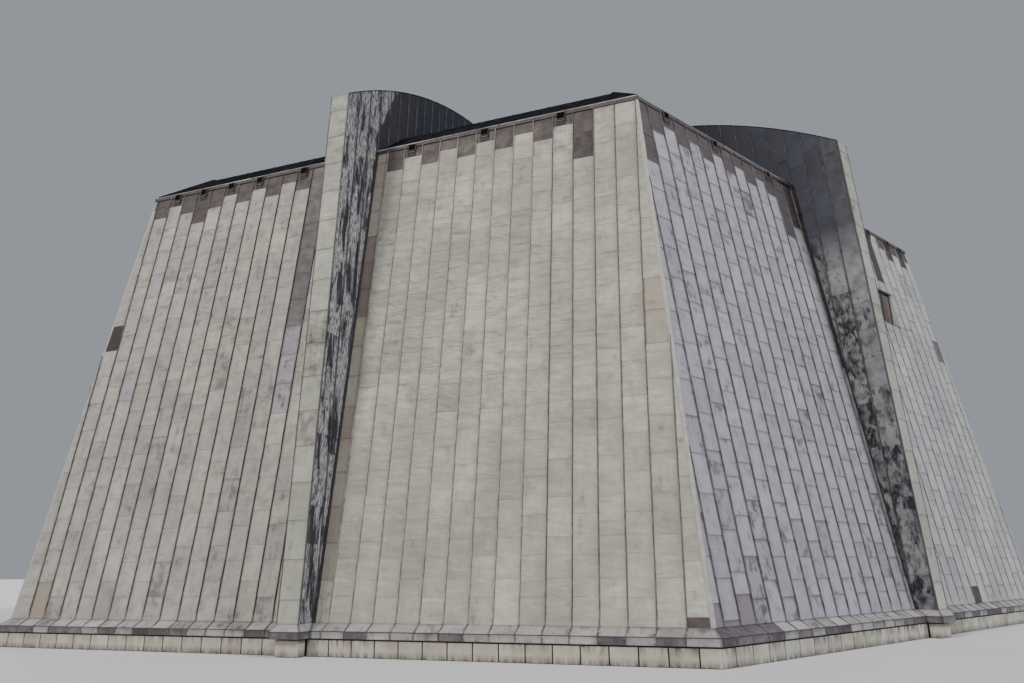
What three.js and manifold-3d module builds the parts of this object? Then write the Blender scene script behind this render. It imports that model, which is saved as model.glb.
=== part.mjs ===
// A hexagonal church hall. Six battered, metal-clad walls lean in towards the top, and three great
// arches cross at the centre: each ends in two fins, which stand out of the middle of opposite walls.
// Millimetres, +Z up, ground at z = 0, one corner of the hexagon towards -Y.

import * as THREE from 'three';
import { ConvexGeometry } from 'three/addons/geometries/ConvexGeometry.js';
import { mergeVertices } from 'three/addons/utils/BufferGeometryUtils.js';
import Module from 'manifold-3d';

const wasm = await Module();
wasm.setup();

// Plan: the hexagon of the sheets' lower edge, where the kick of the skirt begins.
const SIDE = 17000;
const APOTHEM = SIDE * Math.sin(Math.PI / 3);
const MITRE = Math.tan(Math.PI / 6);
const SIDES = 6;

// Fits: the gap between touching pieces, the overlap of shapes that are joined into one piece, and
// the distance within which two vertices are one.
const FIT = 0.3;
const LAP = 1;
const MERGE = 0.01;

// Walls. Heights are above the ground; y is measured inwards from the lower edge of the sheets.
const BATTER = THREE.MathUtils.degToRad(7.8);
const LEAN = Math.tan(BATTER);
const SHEET_Z = 640;
const PLINTH_Z = 480;
const WALL_TOP_Z = 12840;
const WALL_T = 400;

// Skirt: the sheets kick out over the plinth and end in an upright drip band.
const KICK_OUT = 250;
const KICK_Z = 490;
const DRIP_Z = 350;
const PLINTH_OUT = 200;
const PLINTH_IN = 420;

// Fins and arches: one rib of constant thickness, straight outer edge below, circular crest above.
const RIB_T = 500;
const FIN_FOOT_OUT = 510;
const FIN_TOP_IN = 125;
const FIN_TOP_Z = 13740;
const CREST_Z = 18780;
const RIB_DEPTH = 3200;
const LEG_IN = 350;
const FIN_PLINTH_OUT = 490;
const FIN_KICK = 120;
const CROWN_APOTHEM = 600;
const CROWN_DROP = 5;
const ARC_STEPS = 20;
const HALVINGS = 40;

// Roof: a steep kerb above the wall top, then six low slopes that rise to the crown.
const COPING_OUT = 30;
const COPING_H = 90;
const COPING_CAP = 20;
const KERB_IN = 1400;
const KERB_RISE = 1200;
const ROOF_PITCH = Math.tan(THREE.MathUtils.degToRad(12));
const ROOF_T = 350;

// Outlets: small boxes just under the coping, at these distances from the top of the corner. The
// halves that show have their own places, listed by corner, for the half on its left or right.
const OUTLETS_USUAL = [1935, 4020, 6150];
const OUTLETS_LEFT = { 2: [535, 1535, 3035] };
const OUTLETS_RIGHT = { 1: [1060, 3140, 5760], 6: [905, 1895, 2915, 3935, 5465] };
const OUTLET_W = 200;
const OUTLET_MOUTH = 200;
const OUTLET_H = 310;
const OUTLET_OUT = 45;
const OUTLET_FOOT_OUT = 15;
const OUTLET_BACK = 3;
const OUTLET_LAP = 40;

// The one window that shows: high in the right half of side 1, upright in the leaning wall.
const WINDOW_SIDE = 1;
const WINDOW_FROM = 3450;
const WINDOW_TO = 4750;
const WINDOW_SILL = 9170;
const WINDOW_HEAD = 10360;
const WINDOW_T = 110;
const WINDOW_FRAME = 60;
const WINDOW_POCKET = 30;
const WINDOW_LIGHTS = 2;

const SHEET_METAL = { color: 0x9a9b8c, roughness: 0.55, metalness: 0.35 };
const DARK_METAL = { color: 0x4b4347, roughness: 0.5, metalness: 0.45 };
const ROOF_METAL = { color: 0x35353b, roughness: 0.55, metalness: 0.4 };
const CONCRETE = { color: 0xb3ae9c, roughness: 0.85, metalness: 0 };

const group = new THREE.Group();

function addMesh(parent, name, geometry, finish) {
  const mesh = new THREE.Mesh(geometry, new THREE.MeshStandardMaterial(finish));
  mesh.name = name;
  parent.add(mesh);
  return mesh;
}

// A closed mesh as a solid, with shared vertices merged.
function toSolid(geometry) {
  const bare = geometry.clone();
  bare.deleteAttribute('normal');
  bare.deleteAttribute('uv');
  const merged = mergeVertices(bare, MERGE);
  return new wasm.Manifold(new wasm.Mesh({
    numProp: 3,
    vertProperties: new Float32Array(merged.attributes.position.array),
    triVerts: new Uint32Array(merged.index.array),
  }));
}

function fromSolid(solid) {
  const mesh = solid.getMesh();
  const geometry = new THREE.BufferGeometry();
  geometry.setAttribute('position', new THREE.BufferAttribute(mesh.vertProperties, 3));
  geometry.setIndex(new THREE.BufferAttribute(mesh.triVerts, 1));
  return geometry;
}

function joined(solids) {
  return solids.reduce((whole, next) => whole.add(next));
}

// How far in the outer face of the wall lies at height z.
function wallFace(z) {
  return (z - SHEET_Z) * LEAN;
}

// A section of (y, z) points run along x through stations. Each station is a function that places a
// section point, so that the ends and bends are mitred.
function run(section, stations) {
  const shape = new THREE.Shape(section.map(([y, z]) => new THREE.Vector2(y, z)));
  const steps = stations.length - 1;
  const geometry = new THREE.ExtrudeGeometry(shape, { depth: steps, steps, bevelEnabled: false });
  const place = geometry.attributes.position;
  for (let i = 0; i < place.count; i += 1) {
    const point = stations[Math.round(place.getZ(i))](place.getX(i), place.getY(i));
    place.setXYZ(i, point.x, point.y, point.z);
  }
  return geometry;
}

// Half a side, from the rib's face to the mitre at the corner. Hand is +1 or -1, the half to the
// right or left of the rib as seen from outside.
function halfSide(section, hand) {
  const atRib = (y, z) => new THREE.Vector3(hand * (RIB_T / 2 + FIT), y, z);
  const atMitre = (y, z) => new THREE.Vector3(hand * mitreX(y), y, z);
  return run(section, hand > 0 ? [atRib, atMitre] : [atMitre, atRib]);
}

// A whole side, from mitre to mitre.
function wholeSide(section) {
  const ends = [-1, 1].map((hand) => (y, z) => new THREE.Vector3(hand * mitreX(y), y, z));
  return run(section, ends);
}

function mitreX(y) {
  return (APOTHEM - y) * MITRE - FIT / 2;
}

// A point of the side that lies to the left of a corner, turned so that the corner faces -Y.
function atCorner(x, y, z) {
  const point = new THREE.Vector3(x, y - APOTHEM, z);
  return point.applyAxisAngle(new THREE.Vector3(0, 0, 1), -Math.PI / SIDES);
}

// A bent piece that runs from one rib round the corner to the next, mitred on the plane x = 0.
function roundCorner(section) {
  const left = (y, z) => atCorner(RIB_T / 2 + FIT, y, z);
  const bend = (y, z) => new THREE.Vector3(0, (y - APOTHEM) / Math.cos(Math.PI / SIDES), z);
  const right = (y, z) => left(y, z).multiply(new THREE.Vector3(-1, 1, 1));
  return run(section, [left, bend, right]);
}

// The wall slab of one half: a battered slab, level at its foot and its top.
const wallSection = [
  [wallFace(PLINTH_Z), PLINTH_Z + FIT],
  [wallFace(PLINTH_Z) + WALL_T, PLINTH_Z + FIT],
  [wallFace(WALL_TOP_Z) + WALL_T, WALL_TOP_Z],
  [wallFace(WALL_TOP_Z), WALL_TOP_Z],
];

const plinthSection = [
  [-PLINTH_OUT, 0], [PLINTH_IN, 0], [PLINTH_IN, PLINTH_Z], [-PLINTH_OUT, PLINTH_Z],
];

// The skirt: the kick fills the angle over the plinth, and the drip band hangs in front of it.
const skirtSection = [
  [-FIT, SHEET_Z], [-KICK_OUT, KICK_Z], [-KICK_OUT, DRIP_Z], [-PLINTH_OUT - FIT, DRIP_Z],
  [-PLINTH_OUT - FIT, PLINTH_Z + FIT], [wallFace(PLINTH_Z) - FIT, PLINTH_Z + FIT],
];

// The roof's edge: a coping lip over the top of the sheets, and the steep kerb on the wall top.
const topFace = wallFace(WALL_TOP_Z);
const lipFootZ = WALL_TOP_Z - COPING_H;
const kerbTopY = topFace + KERB_IN;
const kerbTopZ = WALL_TOP_Z + COPING_CAP + KERB_RISE;
const edgeSection = [
  [wallFace(lipFootZ) - COPING_OUT, lipFootZ], [wallFace(lipFootZ) - FIT, lipFootZ],
  [topFace - FIT, WALL_TOP_Z + FIT], [topFace + WALL_T, WALL_TOP_Z + FIT],
  [kerbTopY, kerbTopZ - ROOF_T], [kerbTopY, kerbTopZ],
  [topFace, WALL_TOP_Z + COPING_CAP], [topFace - COPING_OUT, WALL_TOP_Z + COPING_CAP],
];
const crownY = APOTHEM - CROWN_APOTHEM;
const roofEndZ = kerbTopZ + (crownY - kerbTopY) * ROOF_PITCH;
const fieldSection = [
  [kerbTopY + FIT, kerbTopZ - ROOF_T], [crownY - FIT, roofEndZ - ROOF_T],
  [crownY - FIT, roofEndZ], [kerbTopY + FIT, kerbTopZ],
];

// The rib's outline, from the outer foot up the fin, along the crest to the crown, and back inside.
const crestRun = APOTHEM - FIN_TOP_IN;
const crestRise = CREST_Z - FIN_TOP_Z;
const CREST_R = (crestRun ** 2 + crestRise ** 2) / (2 * crestRise);
const arcCentreZ = CREST_Z - CREST_R;
const SOFFIT_R = CREST_R - RIB_DEPTH;

function finEdge(z) {
  const slope = (FIN_FOOT_OUT + FIN_TOP_IN) / (FIN_TOP_Z - SHEET_Z);
  return -FIN_FOOT_OUT + (z - SHEET_Z) * slope;
}

function legInside(z) {
  return wallFace(z) + WALL_T + LEG_IN;
}

function arcZ(radius, y) {
  return arcCentreZ + Math.sqrt(radius ** 2 - (APOTHEM - y) ** 2);
}

// Where the inner line of the leg meets the soffit arc, found by halving the interval.
function soffitStartZ() {
  let low = PLINTH_Z;
  let high = FIN_TOP_Z;
  for (let i = 0; i < HALVINGS; i += 1) {
    const middle = (low + high) / 2;
    if (arcZ(SOFFIT_R, legInside(middle)) > middle) low = middle;
    else high = middle;
  }
  return low;
}

function ribOutline() {
  const end = crownY - FIT;
  const startZ = soffitStartZ();
  const startY = legInside(startZ);
  const outline = new THREE.Shape();
  outline.moveTo(finEdge(PLINTH_Z), PLINTH_Z + FIT);
  outline.lineTo(FIN_TOP_IN, FIN_TOP_Z);
  const crestFrom = Math.atan2(FIN_TOP_Z - arcCentreZ, FIN_TOP_IN - APOTHEM);
  const crestTo = Math.atan2(arcZ(CREST_R, end) - arcCentreZ, end - APOTHEM);
  outline.absarc(APOTHEM, arcCentreZ, CREST_R, crestFrom, crestTo, true);
  const soffitFrom = Math.atan2(arcZ(SOFFIT_R, end) - arcCentreZ, end - APOTHEM);
  const soffitTo = Math.atan2(startZ - arcCentreZ, startY - APOTHEM);
  outline.absarc(APOTHEM, arcCentreZ, SOFFIT_R, soffitFrom, soffitTo, false);
  outline.lineTo(legInside(PLINTH_Z), PLINTH_Z + FIT);
  outline.closePath();
  return outline;
}

// The extrusion runs along local z; the turn maps the outline's (x, y) to the side's (y, z).
function ribGeometry() {
  const geometry = new THREE.ExtrudeGeometry(ribOutline(), {
    depth: RIB_T, bevelEnabled: false, curveSegments: ARC_STEPS,
  });
  geometry.translate(0, 0, -RIB_T / 2);
  const turn = new THREE.Matrix4().makeBasis(
    new THREE.Vector3(0, 1, 0), new THREE.Vector3(0, 0, 1), new THREE.Vector3(1, 0, 0),
  );
  geometry.applyMatrix4(turn);
  return geometry;
}

function boxBetween(x0, x1, y0, y1, z0, z1) {
  const geometry = new THREE.BoxGeometry(x1 - x0, y1 - y0, z1 - z0);
  geometry.translate((x0 + x1) / 2, (y0 + y1) / 2, (z0 + z1) / 2);
  return geometry;
}

// The plinth under the fin, in line with the wall's plinth and as wide as the rib.
function finPlinth() {
  const half = RIB_T / 2;
  return toSolid(boxBetween(-half, half, -FIN_PLINTH_OUT, legInside(PLINTH_Z), 0, PLINTH_Z));
}

// The skirt round the fin's foot: a splayed collar and its drip band, hollowed for rib and plinth.
function finSkirt() {
  const half = RIB_T / 2;
  const back = LAP - KICK_OUT;
  const front = -FIN_FOOT_OUT - FIN_KICK;
  const collar = [];
  for (const side of [-1, 1]) {
    collar.push(
      new THREE.Vector3(side * (half + LAP), -FIN_FOOT_OUT - LAP, SHEET_Z),
      new THREE.Vector3(side * (half + LAP), back, SHEET_Z),
      new THREE.Vector3(side * (half + FIN_KICK), front, KICK_Z),
      new THREE.Vector3(side * (half + FIN_KICK), back, KICK_Z),
      new THREE.Vector3(side * (half + FIN_KICK), front, DRIP_Z),
      new THREE.Vector3(side * (half + FIN_KICK), back, DRIP_Z),
    );
  }
  const inner = half + FIT;
  const ribSpace = boxBetween(-inner, inner, finEdge(PLINTH_Z) - FIT, 0, PLINTH_Z, SHEET_Z + LAP);
  const plinthSpace = boxBetween(-inner, inner, -FIN_PLINTH_OUT - FIT, 0, 0, PLINTH_Z + LAP);
  return toSolid(new ConvexGeometry(collar)).subtract(toSolid(ribSpace)).subtract(toSolid(plinthSpace));
}

function skirtSolid() {
  return joined([finSkirt(), ...[1, -1].map((hand) => toSolid(halfSide(skirtSection, hand)))]);
}

// One outlet under the coping lip: a shallow box against the wall, deepest at the foot of its mouth.
// Hand is +1 or -1, on the side to the left or the right of the corner.
function outlet(distance, hand) {
  const along = (APOTHEM - topFace) * MITRE - distance;
  const top = lipFootZ + OUTLET_LAP;
  const mouth = lipFootZ - OUTLET_MOUTH;
  const foot = lipFootZ - OUTLET_H;
  const points = [];
  for (const x of [along - OUTLET_W / 2, along + OUTLET_W / 2]) {
    points.push(
      atCorner(x, wallFace(top) - OUTLET_BACK, top),
      atCorner(x, wallFace(foot) - OUTLET_BACK, foot),
      atCorner(x, wallFace(foot) - OUTLET_FOOT_OUT, foot),
      atCorner(x, wallFace(mouth) - OUTLET_OUT, mouth),
      atCorner(x, wallFace(top) - COPING_OUT + OUTLET_BACK, top),
    );
  }
  for (const point of points) point.x *= hand;
  return toSolid(new ConvexGeometry(points));
}

function roofEdgeSolid(number) {
  const left = OUTLETS_LEFT[number] ?? OUTLETS_USUAL;
  const right = OUTLETS_RIGHT[number] ?? OUTLETS_USUAL;
  const outlets = [
    ...left.map((distance) => outlet(distance, 1)),
    ...right.map((distance) => outlet(distance, -1)),
  ];
  return joined([toSolid(roundCorner(edgeSection)), ...outlets]);
}

// The wall half that holds the window, with the opening cut level through it.
function windowedWall() {
  const opening = boxBetween(WINDOW_FROM, WINDOW_TO, 0, APOTHEM / 2, WINDOW_SILL, WINDOW_HEAD);
  return toSolid(halfSide(wallSection, 1)).subtract(toSolid(opening));
}

// The window: an upright frame whose lights are sunk, with its head close to the sheets' face.
function windowSolid() {
  const front = wallFace(WINDOW_HEAD) + WINDOW_POCKET;
  const outline = [WINDOW_FROM + FIT, WINDOW_TO - FIT, WINDOW_SILL + FIT, WINDOW_HEAD - FIT];
  const [x0, x1, z0, z1] = outline;
  let solid = toSolid(boxBetween(x0, x1, front, front + WINDOW_T, z0, z1));
  const pitch = (x1 - x0 - WINDOW_FRAME) / WINDOW_LIGHTS;
  for (let i = 0; i < WINDOW_LIGHTS; i += 1) {
    const left = x0 + WINDOW_FRAME + i * pitch;
    const light = boxBetween(
      left, left + pitch - WINDOW_FRAME, front - LAP, front + WINDOW_POCKET,
      z0 + WINDOW_FRAME, z1 - WINDOW_FRAME,
    );
    solid = solid.subtract(toSolid(light));
  }
  return solid;
}

// A side is built as seen from outside, with y running inwards, then turned to its place.
function addSide(number) {
  const turned = new THREE.Group();
  turned.rotation.z = (number - 0.5) * (2 * Math.PI) / SIDES;
  group.add(turned);
  const side = new THREE.Group();
  side.position.y = -APOTHEM;
  turned.add(side);
  const plinth = joined([toSolid(wholeSide(plinthSection)), finPlinth()]);
  addMesh(side, `plinth_${number}`, fromSolid(plinth), CONCRETE);
  addMesh(side, `skirt_${number}`, fromSolid(skirtSolid()), SHEET_METAL);
  if (number === WINDOW_SIDE) {
    addMesh(side, `wall_${number}_right`, fromSolid(windowedWall()), SHEET_METAL);
    addMesh(side, 'high_window', fromSolid(windowSolid()), DARK_METAL);
  } else {
    addMesh(side, `wall_${number}_right`, halfSide(wallSection, 1), SHEET_METAL);
  }
  addMesh(side, `wall_${number}_left`, halfSide(wallSection, -1), SHEET_METAL);
  addMesh(side, `arch_rib_${number}`, ribGeometry(), SHEET_METAL);
}

// A corner carries the roof's edge and one field of the roof, each from rib to rib.
function addCorner(number) {
  const corner = new THREE.Group();
  corner.rotation.z = (number - 1) * (2 * Math.PI) / SIDES;
  group.add(corner);
  addMesh(corner, `roof_edge_${number}`, fromSolid(roofEdgeSolid(number)), DARK_METAL);
  addMesh(corner, `roof_field_${number}`, roundCorner(fieldSection), ROOF_METAL);
}

// The crown block where the six ribs meet.
function crownGeometry() {
  const radius = CROWN_APOTHEM / Math.cos(Math.PI / SIDES);
  const foot = arcCentreZ + SOFFIT_R - CROWN_DROP;
  const height = CREST_Z - foot;
  const geometry = new THREE.CylinderGeometry(radius, radius, height, SIDES);
  geometry.rotateX(Math.PI / 2);
  geometry.translate(0, 0, foot + height / 2);
  return geometry;
}

for (let number = 1; number <= SIDES; number += 1) {
  addSide(number);
  addCorner(number);
}
addMesh(group, 'crown', crownGeometry(), SHEET_METAL);

export default group;
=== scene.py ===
# A six-sided church hall, put together from the ground up: plinth, bearing walls, sheets, skirt, window,
# ribs, crown, roof edge and roof. Metres, +Z up, ground at z = 0, one corner of the hexagon towards -Y.

import math
from itertools import pairwise

import bmesh
import bpy
import numpy as np
from mathutils import Matrix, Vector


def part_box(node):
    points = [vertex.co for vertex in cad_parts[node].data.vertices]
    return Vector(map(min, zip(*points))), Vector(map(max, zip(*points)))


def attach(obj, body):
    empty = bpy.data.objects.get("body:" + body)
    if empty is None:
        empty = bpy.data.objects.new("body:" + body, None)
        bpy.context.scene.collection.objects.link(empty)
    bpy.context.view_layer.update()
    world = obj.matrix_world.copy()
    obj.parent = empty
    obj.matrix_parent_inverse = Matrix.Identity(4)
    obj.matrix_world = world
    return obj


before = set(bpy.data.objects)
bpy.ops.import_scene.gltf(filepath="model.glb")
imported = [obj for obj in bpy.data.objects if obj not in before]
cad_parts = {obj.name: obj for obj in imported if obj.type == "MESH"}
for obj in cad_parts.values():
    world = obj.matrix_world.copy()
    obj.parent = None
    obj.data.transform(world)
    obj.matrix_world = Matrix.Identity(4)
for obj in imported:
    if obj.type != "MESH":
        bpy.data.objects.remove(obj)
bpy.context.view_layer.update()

# Viewpoint, floor and light. The building is seen from standing height near the foot of one corner.
# The floor is a plain pale sheet, and the light is broad and soft: a warm lamp on the left of the
# corner, a cooler one on the right, a weak one in front, one behind and an even pale sky.
EYE = (-5.953, -30.149, 1.648)
HEADING = math.radians(10.349)
TILT_UP = math.radians(17.052)
ROLL = math.radians(-0.640)
LENS = 26.232
SENSOR = 36.0
FAR = 900.0
FLOOR_HALF = 400.0
FLOOR_DROP = 0.003
FLOOR_PALE = (0.56, 0.56, 0.55)
FLOOR_SHADE = (0.52, 0.52, 0.52)
SKY = (0.74, 0.78, 0.86, 1.0)
SKY_STRENGTH = 0.42
LAMPS = {
    "lamp_left": {"azimuth": -58, "height": 44, "strength": 1.9, "colour": (1.0, 0.95, 0.85), "spread": 14},
    "lamp_right": {"azimuth": 50, "height": 40, "strength": 2.2, "colour": (0.88, 0.91, 1.0), "spread": 16},
    "lamp_front": {"azimuth": -24, "height": 24, "strength": 0.8, "colour": (0.96, 0.97, 1.0), "spread": 30},
    "lamp_behind": {"azimuth": 190, "height": 42, "strength": 1.5, "colour": (1.0, 0.98, 0.94), "spread": 20},
}


class Finish:
    """A surface drawn with procedural patterns. Each call adds one step and gives its result."""

    def __init__(self, name, metallic=0.0, gloss=0.4):
        self.material = bpy.data.materials.new(name)
        self.material.use_nodes = True
        self.tree = self.material.node_tree
        self.shader = self.tree.nodes["Principled BSDF"]
        self.shader.inputs["Metallic"].default_value = metallic
        self.shader.inputs["Specular IOR Level"].default_value = gloss

    def step(self, kind, feeds, **settings):
        node = self.tree.nodes.new("ShaderNode" + kind)
        for key, value in settings.items():
            setattr(node, key, value)
        for key, value in feeds.items():
            if isinstance(value, bpy.types.NodeSocket):
                self.tree.links.new(value, node.inputs[key])
            else:
                node.inputs[key].default_value = value
        return node

    def place(self):
        """Where this point is in the building, in metres."""
        return self.step("TexCoord", {}).outputs["Object"]

    def note(self, name):
        """The three numbers that a mesh keeps under this name at this point."""
        return self.step("Attribute", {}, attribute_name=name).outputs["Vector"]

    def parts(self, vector):
        return self.step("SeparateXYZ", {0: vector}).outputs

    def stretched(self, vector, x, y, z):
        return self.step("VectorMath", {0: vector, 1: (x, y, z)}, operation="MULTIPLY").outputs[0]

    def cloud(self, vector, scale, detail=4.0, roughness=0.55, distortion=0.0):
        feeds = {"Vector": vector, "Scale": scale, "Detail": detail, "Roughness": roughness}
        return self.step("TexNoise", feeds | {"Distortion": distortion}).outputs["Fac"]

    def worked(self, operation, a, b):
        return self.step("Math", {0: a, 1: b}, operation=operation).outputs[0]

    def plus(self, a, b):
        return self.worked("ADD", a, b)

    def minus(self, a, b):
        return self.worked("SUBTRACT", a, b)

    def times(self, a, b):
        return self.worked("MULTIPLY", a, b)

    def between(self, value, low, high, start=0.0, end=1.0):
        """How far the value is from low to high, as a number from start to end."""
        feeds = {"Value": value, "From Min": low, "From Max": high, "To Min": start, "To Max": end}
        return self.step("MapRange", feeds).outputs["Result"]

    def mixed(self, share, under, over, way="MIX"):
        colours = [c if isinstance(c, bpy.types.NodeSocket) else (*c, 1.0) for c in (under, over)]
        node = self.step("Mix", {0: share, 6: colours[0], 7: colours[1]}, data_type="RGBA", blend_type=way)
        return node.outputs[2]

    def laid(self, colour, tone, value, low, high, share=1.0):
        """The colour with the tone laid over it, from none at low to its full share at high."""
        return self.mixed(self.between(value, low, high, 0.0, share), colour, tone)

    def shaded(self, colour, level):
        """The colour made lighter or darker by the level."""
        grey = self.step("CombineXYZ", {0: level, 1: level, 2: level}).outputs[0]
        return self.mixed(1.0, colour, grey, "MULTIPLY")

    def done(self, colour, roughness, reliefs):
        """Reliefs are (height, depth in metres, strength), the coarse ones first."""
        self.tree.links.new(colour, self.shader.inputs["Base Color"])
        self.tree.links.new(roughness, self.shader.inputs["Roughness"])
        normal = None
        for height, depth, strength in reliefs:
            bump = self.step("Bump", {"Height": height, "Distance": depth, "Strength": strength})
            if normal is not None:
                self.tree.links.new(normal, bump.inputs["Normal"])
            normal = bump.outputs["Normal"]
        if normal is not None:
            self.tree.links.new(normal, self.shader.inputs["Normal"])
        return self.material


def floor_finish():
    finish = Finish("floor_paint", gloss=0.2)
    cloud = finish.cloud(finish.place(), 0.35)
    colour = finish.mixed(cloud, FLOOR_PALE, FLOOR_SHADE)
    return finish.done(colour, finish.between(cloud, 0, 1, 0.75, 0.95), [])


camera = bpy.data.objects.new("viewpoint", bpy.data.cameras.new("viewpoint"))
camera.data.lens = LENS
camera.data.sensor_width = SENSOR
camera.data.clip_end = FAR
aim = Matrix.Rotation(-HEADING, 4, "Z") @ Matrix.Rotation(math.pi / 2 + TILT_UP, 4, "X")
camera.matrix_world = Matrix.Translation(EYE) @ aim @ Matrix.Rotation(ROLL, 4, "Z")
bpy.context.scene.collection.objects.link(camera)
bpy.context.scene.camera = camera

floor_mesh = bpy.data.meshes.new("floor")
corners = [(x * FLOOR_HALF, y * FLOOR_HALF, -FLOOR_DROP) for x, y in ((-1, -1), (1, -1), (1, 1), (-1, 1))]
floor_mesh.from_pydata(corners, [], [(0, 1, 2, 3)])
floor_mesh.materials.append(floor_finish())
floor = bpy.data.objects.new("floor", floor_mesh)
bpy.context.scene.collection.objects.link(floor)

world = bpy.data.worlds.new("pale_sky")
bpy.context.scene.world = world
world.use_nodes = True
world.node_tree.nodes["Background"].inputs["Color"].default_value = SKY
world.node_tree.nodes["Background"].inputs["Strength"].default_value = SKY_STRENGTH

for name, lamp in LAMPS.items():
    sun = bpy.data.objects.new(name, bpy.data.lights.new(name, "SUN"))
    sun.data.energy = lamp["strength"]
    sun.data.color = lamp["colour"]
    sun.data.angle = math.radians(lamp["spread"])
    turn = Matrix.Rotation(math.radians(lamp["azimuth"]), 4, "Z")
    sun.matrix_world = turn @ Matrix.Rotation(math.radians(90 - lamp["height"]), 4, "X")
    bpy.context.scene.collection.objects.link(sun)

# Plinth. A low concrete kerb carries the walls and the ribs, and is faced with pale upright panels.
# They are about as wide as one sheet, are fixed with open joints, stained by the ground and drips,
# and tuck under the drip band of the skirt. The kerb itself is near-black, painted shade in the open
# joints and in the line left under the drip band.
SIDES = 6
SIDE = 17.0
APOTHEM = SIDE * math.sin(math.pi / 3)
MITRE = math.tan(math.pi / SIDES)
PLINTH_OUT = 0.20
FIN_PLINTH_OUT = 0.49
RIB_HALF = 0.25
PANEL_FOOT = 0.004
# The panels stop below the drip band, so that the near-black kerb shows there as a painted shadow line.
PANEL_HEAD = 0.322
PANEL_T = 0.024
PANEL_W = 0.53
PANEL_GAP = 0.026
PANEL_ROUND = 0.006
PANEL_PALE = (0.45, 0.43, 0.37)
PANEL_WARM = (0.33, 0.285, 0.235)
PANEL_DIRT = (0.085, 0.078, 0.066)
PANEL_MOSS = (0.090, 0.095, 0.060)
# The kerb's tones are near-black: painted shade in the open joints and under the drip band.
JOINT_DARK = (0.016, 0.014, 0.014)
JOINT_LIGHT = (0.045, 0.042, 0.040)
MERGE = 0.0002
CREASE_ANGLE = math.radians(32)
NOTES = ("metres", "edges", "wear")
REAR = 0.004
ROUND_REACH = 2.5
TONE_SPREAD = 0.07
SHIFT = 9


def triples(*values):
    """The values side by side at each point of a grid."""
    return np.stack(np.broadcast_arrays(*values), axis=-1)


def to_building(number, x, y, z):
    """A point of side number, with x to the right as seen from outside, y inwards from the lower edge
    of the sheets and z up, in the building's own axes."""
    turn = (number - 0.5) * 2 * math.pi / SIDES
    out = APOTHEM - y
    east = x * math.cos(turn) + out * math.sin(turn)
    north = x * math.sin(turn) - out * math.cos(turn)
    return triples(east, north, z)


class Sheets:
    """Gathers thin closed sheets into one mesh. Each is a grid of points with a flat back."""

    def __init__(self):
        self.points = []
        self.faces = []
        self.finishes = []
        self.notes = {name: [] for name in NOTES}
        self.count = 0

    def add(self, front, back, finish, **notes):
        """Front is rows by columns of points, and back is the left and right point behind each row.
        Finish is one material number, or one for each band between two rows."""
        rows, columns = front.shape[:2]
        grid = self.count + np.arange(rows * columns).reshape(rows, columns)
        rear = self.count + rows * columns + np.arange(rows * 2).reshape(rows, 2)
        bands = np.broadcast_to(finish, rows - 1)
        around = np.column_stack([rear[:, 0], grid, rear[:, 1], rear[:, 0]])
        ring = np.stack([around[:-1, :-1], around[:-1, 1:], around[1:, 1:], around[1:, :-1]], axis=-1)
        foot = [*grid[0, ::-1].tolist(), *rear[0].tolist()]
        head = [*grid[-1].tolist(), *rear[-1, ::-1].tolist()]
        self.faces += [*ring.reshape(-1, 4).tolist(), foot, head]
        self.finishes += [*np.repeat(bands, columns + 2).tolist(), int(bands[0]), int(bands[-1])]
        self.points += [front.reshape(-1, 3), back.reshape(-1, 3)]
        for name in NOTES:
            values = np.broadcast_to(notes.get(name, 0.0), (rows, columns, 3))
            self.notes[name] += [values.reshape(-1, 3), values[:, [0, -1]].reshape(-1, 3)]
        self.count += rows * (columns + 2)

    def lay(self, place, across, up, lift, finish, rear=REAR, **notes):
        """A sheet on a face. Place gives the point for (across, up, lift), and rear is how far the
        sheet's back lies under the face."""
        ends = [0, -1]
        back = place(across[:, ends], up[:, ends], np.full((len(up), 2), -rear))
        self.add(place(across, up, lift), back, finish, **notes)

    def made(self, name, slot, *materials):
        """The gathered sheets as one piece that rides on the building."""
        mesh = bpy.data.meshes.new(name)
        mesh.from_pydata(np.concatenate(self.points), [], self.faces)
        mesh.polygons.foreach_set("material_index", self.finishes)
        for note, values in self.notes.items():
            layer = mesh.attributes.new(note, "FLOAT_VECTOR", "POINT")
            layer.data.foreach_set("vector", np.concatenate(values).astype(np.float32).ravel())
        for material in materials:
            mesh.materials.append(material)
        work = bmesh.new()
        work.from_mesh(mesh)
        bmesh.ops.remove_doubles(work, verts=work.verts, dist=MERGE)
        bmesh.ops.dissolve_degenerate(work, edges=work.edges, dist=MERGE)
        bmesh.ops.recalc_face_normals(work, faces=work.faces)
        work.to_mesh(mesh)
        work.free()
        mesh.polygons.foreach_set("use_smooth", [True] * len(mesh.polygons))
        mesh.set_sharp_from_angle(angle=CREASE_ANGLE)
        piece = bpy.data.objects.new(name, mesh)
        bpy.context.scene.collection.objects.link(piece)
        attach(piece, "root")
        return piece


def add_panel(sheets, place, left, right, foot, head, thick, rounding, seed, finish=0):
    """One flat panel with rounded edges."""
    draw = np.random.default_rng(seed)
    reach = ROUND_REACH * rounding
    inset = np.array([0.0, rounding, reach])
    across = np.concatenate([left + inset, [(left + right) / 2], right - inset[::-1]])
    up = np.concatenate([foot + inset, [(foot + head) / 2], head - inset[::-1]])
    across, up = np.meshgrid(across, up)
    rim = np.minimum(np.minimum(across - left, right - across), np.minimum(up - foot, head - up))
    lift = thick - rounding * (1 - np.clip(rim / reach, 0, 1)) ** 2
    sheets.lay(
        place, across, up, lift, finish,
        metres=triples(across, up, draw.uniform(0, SHIFT)),
        edges=triples(across - left, right - across, up - foot),
        wear=triples(1 + draw.normal(0, TONE_SPREAD), draw.uniform(0, 1), head - up),
    )


# The kerb's near-black colour is painted shade in the joints and under the drip band.
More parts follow.
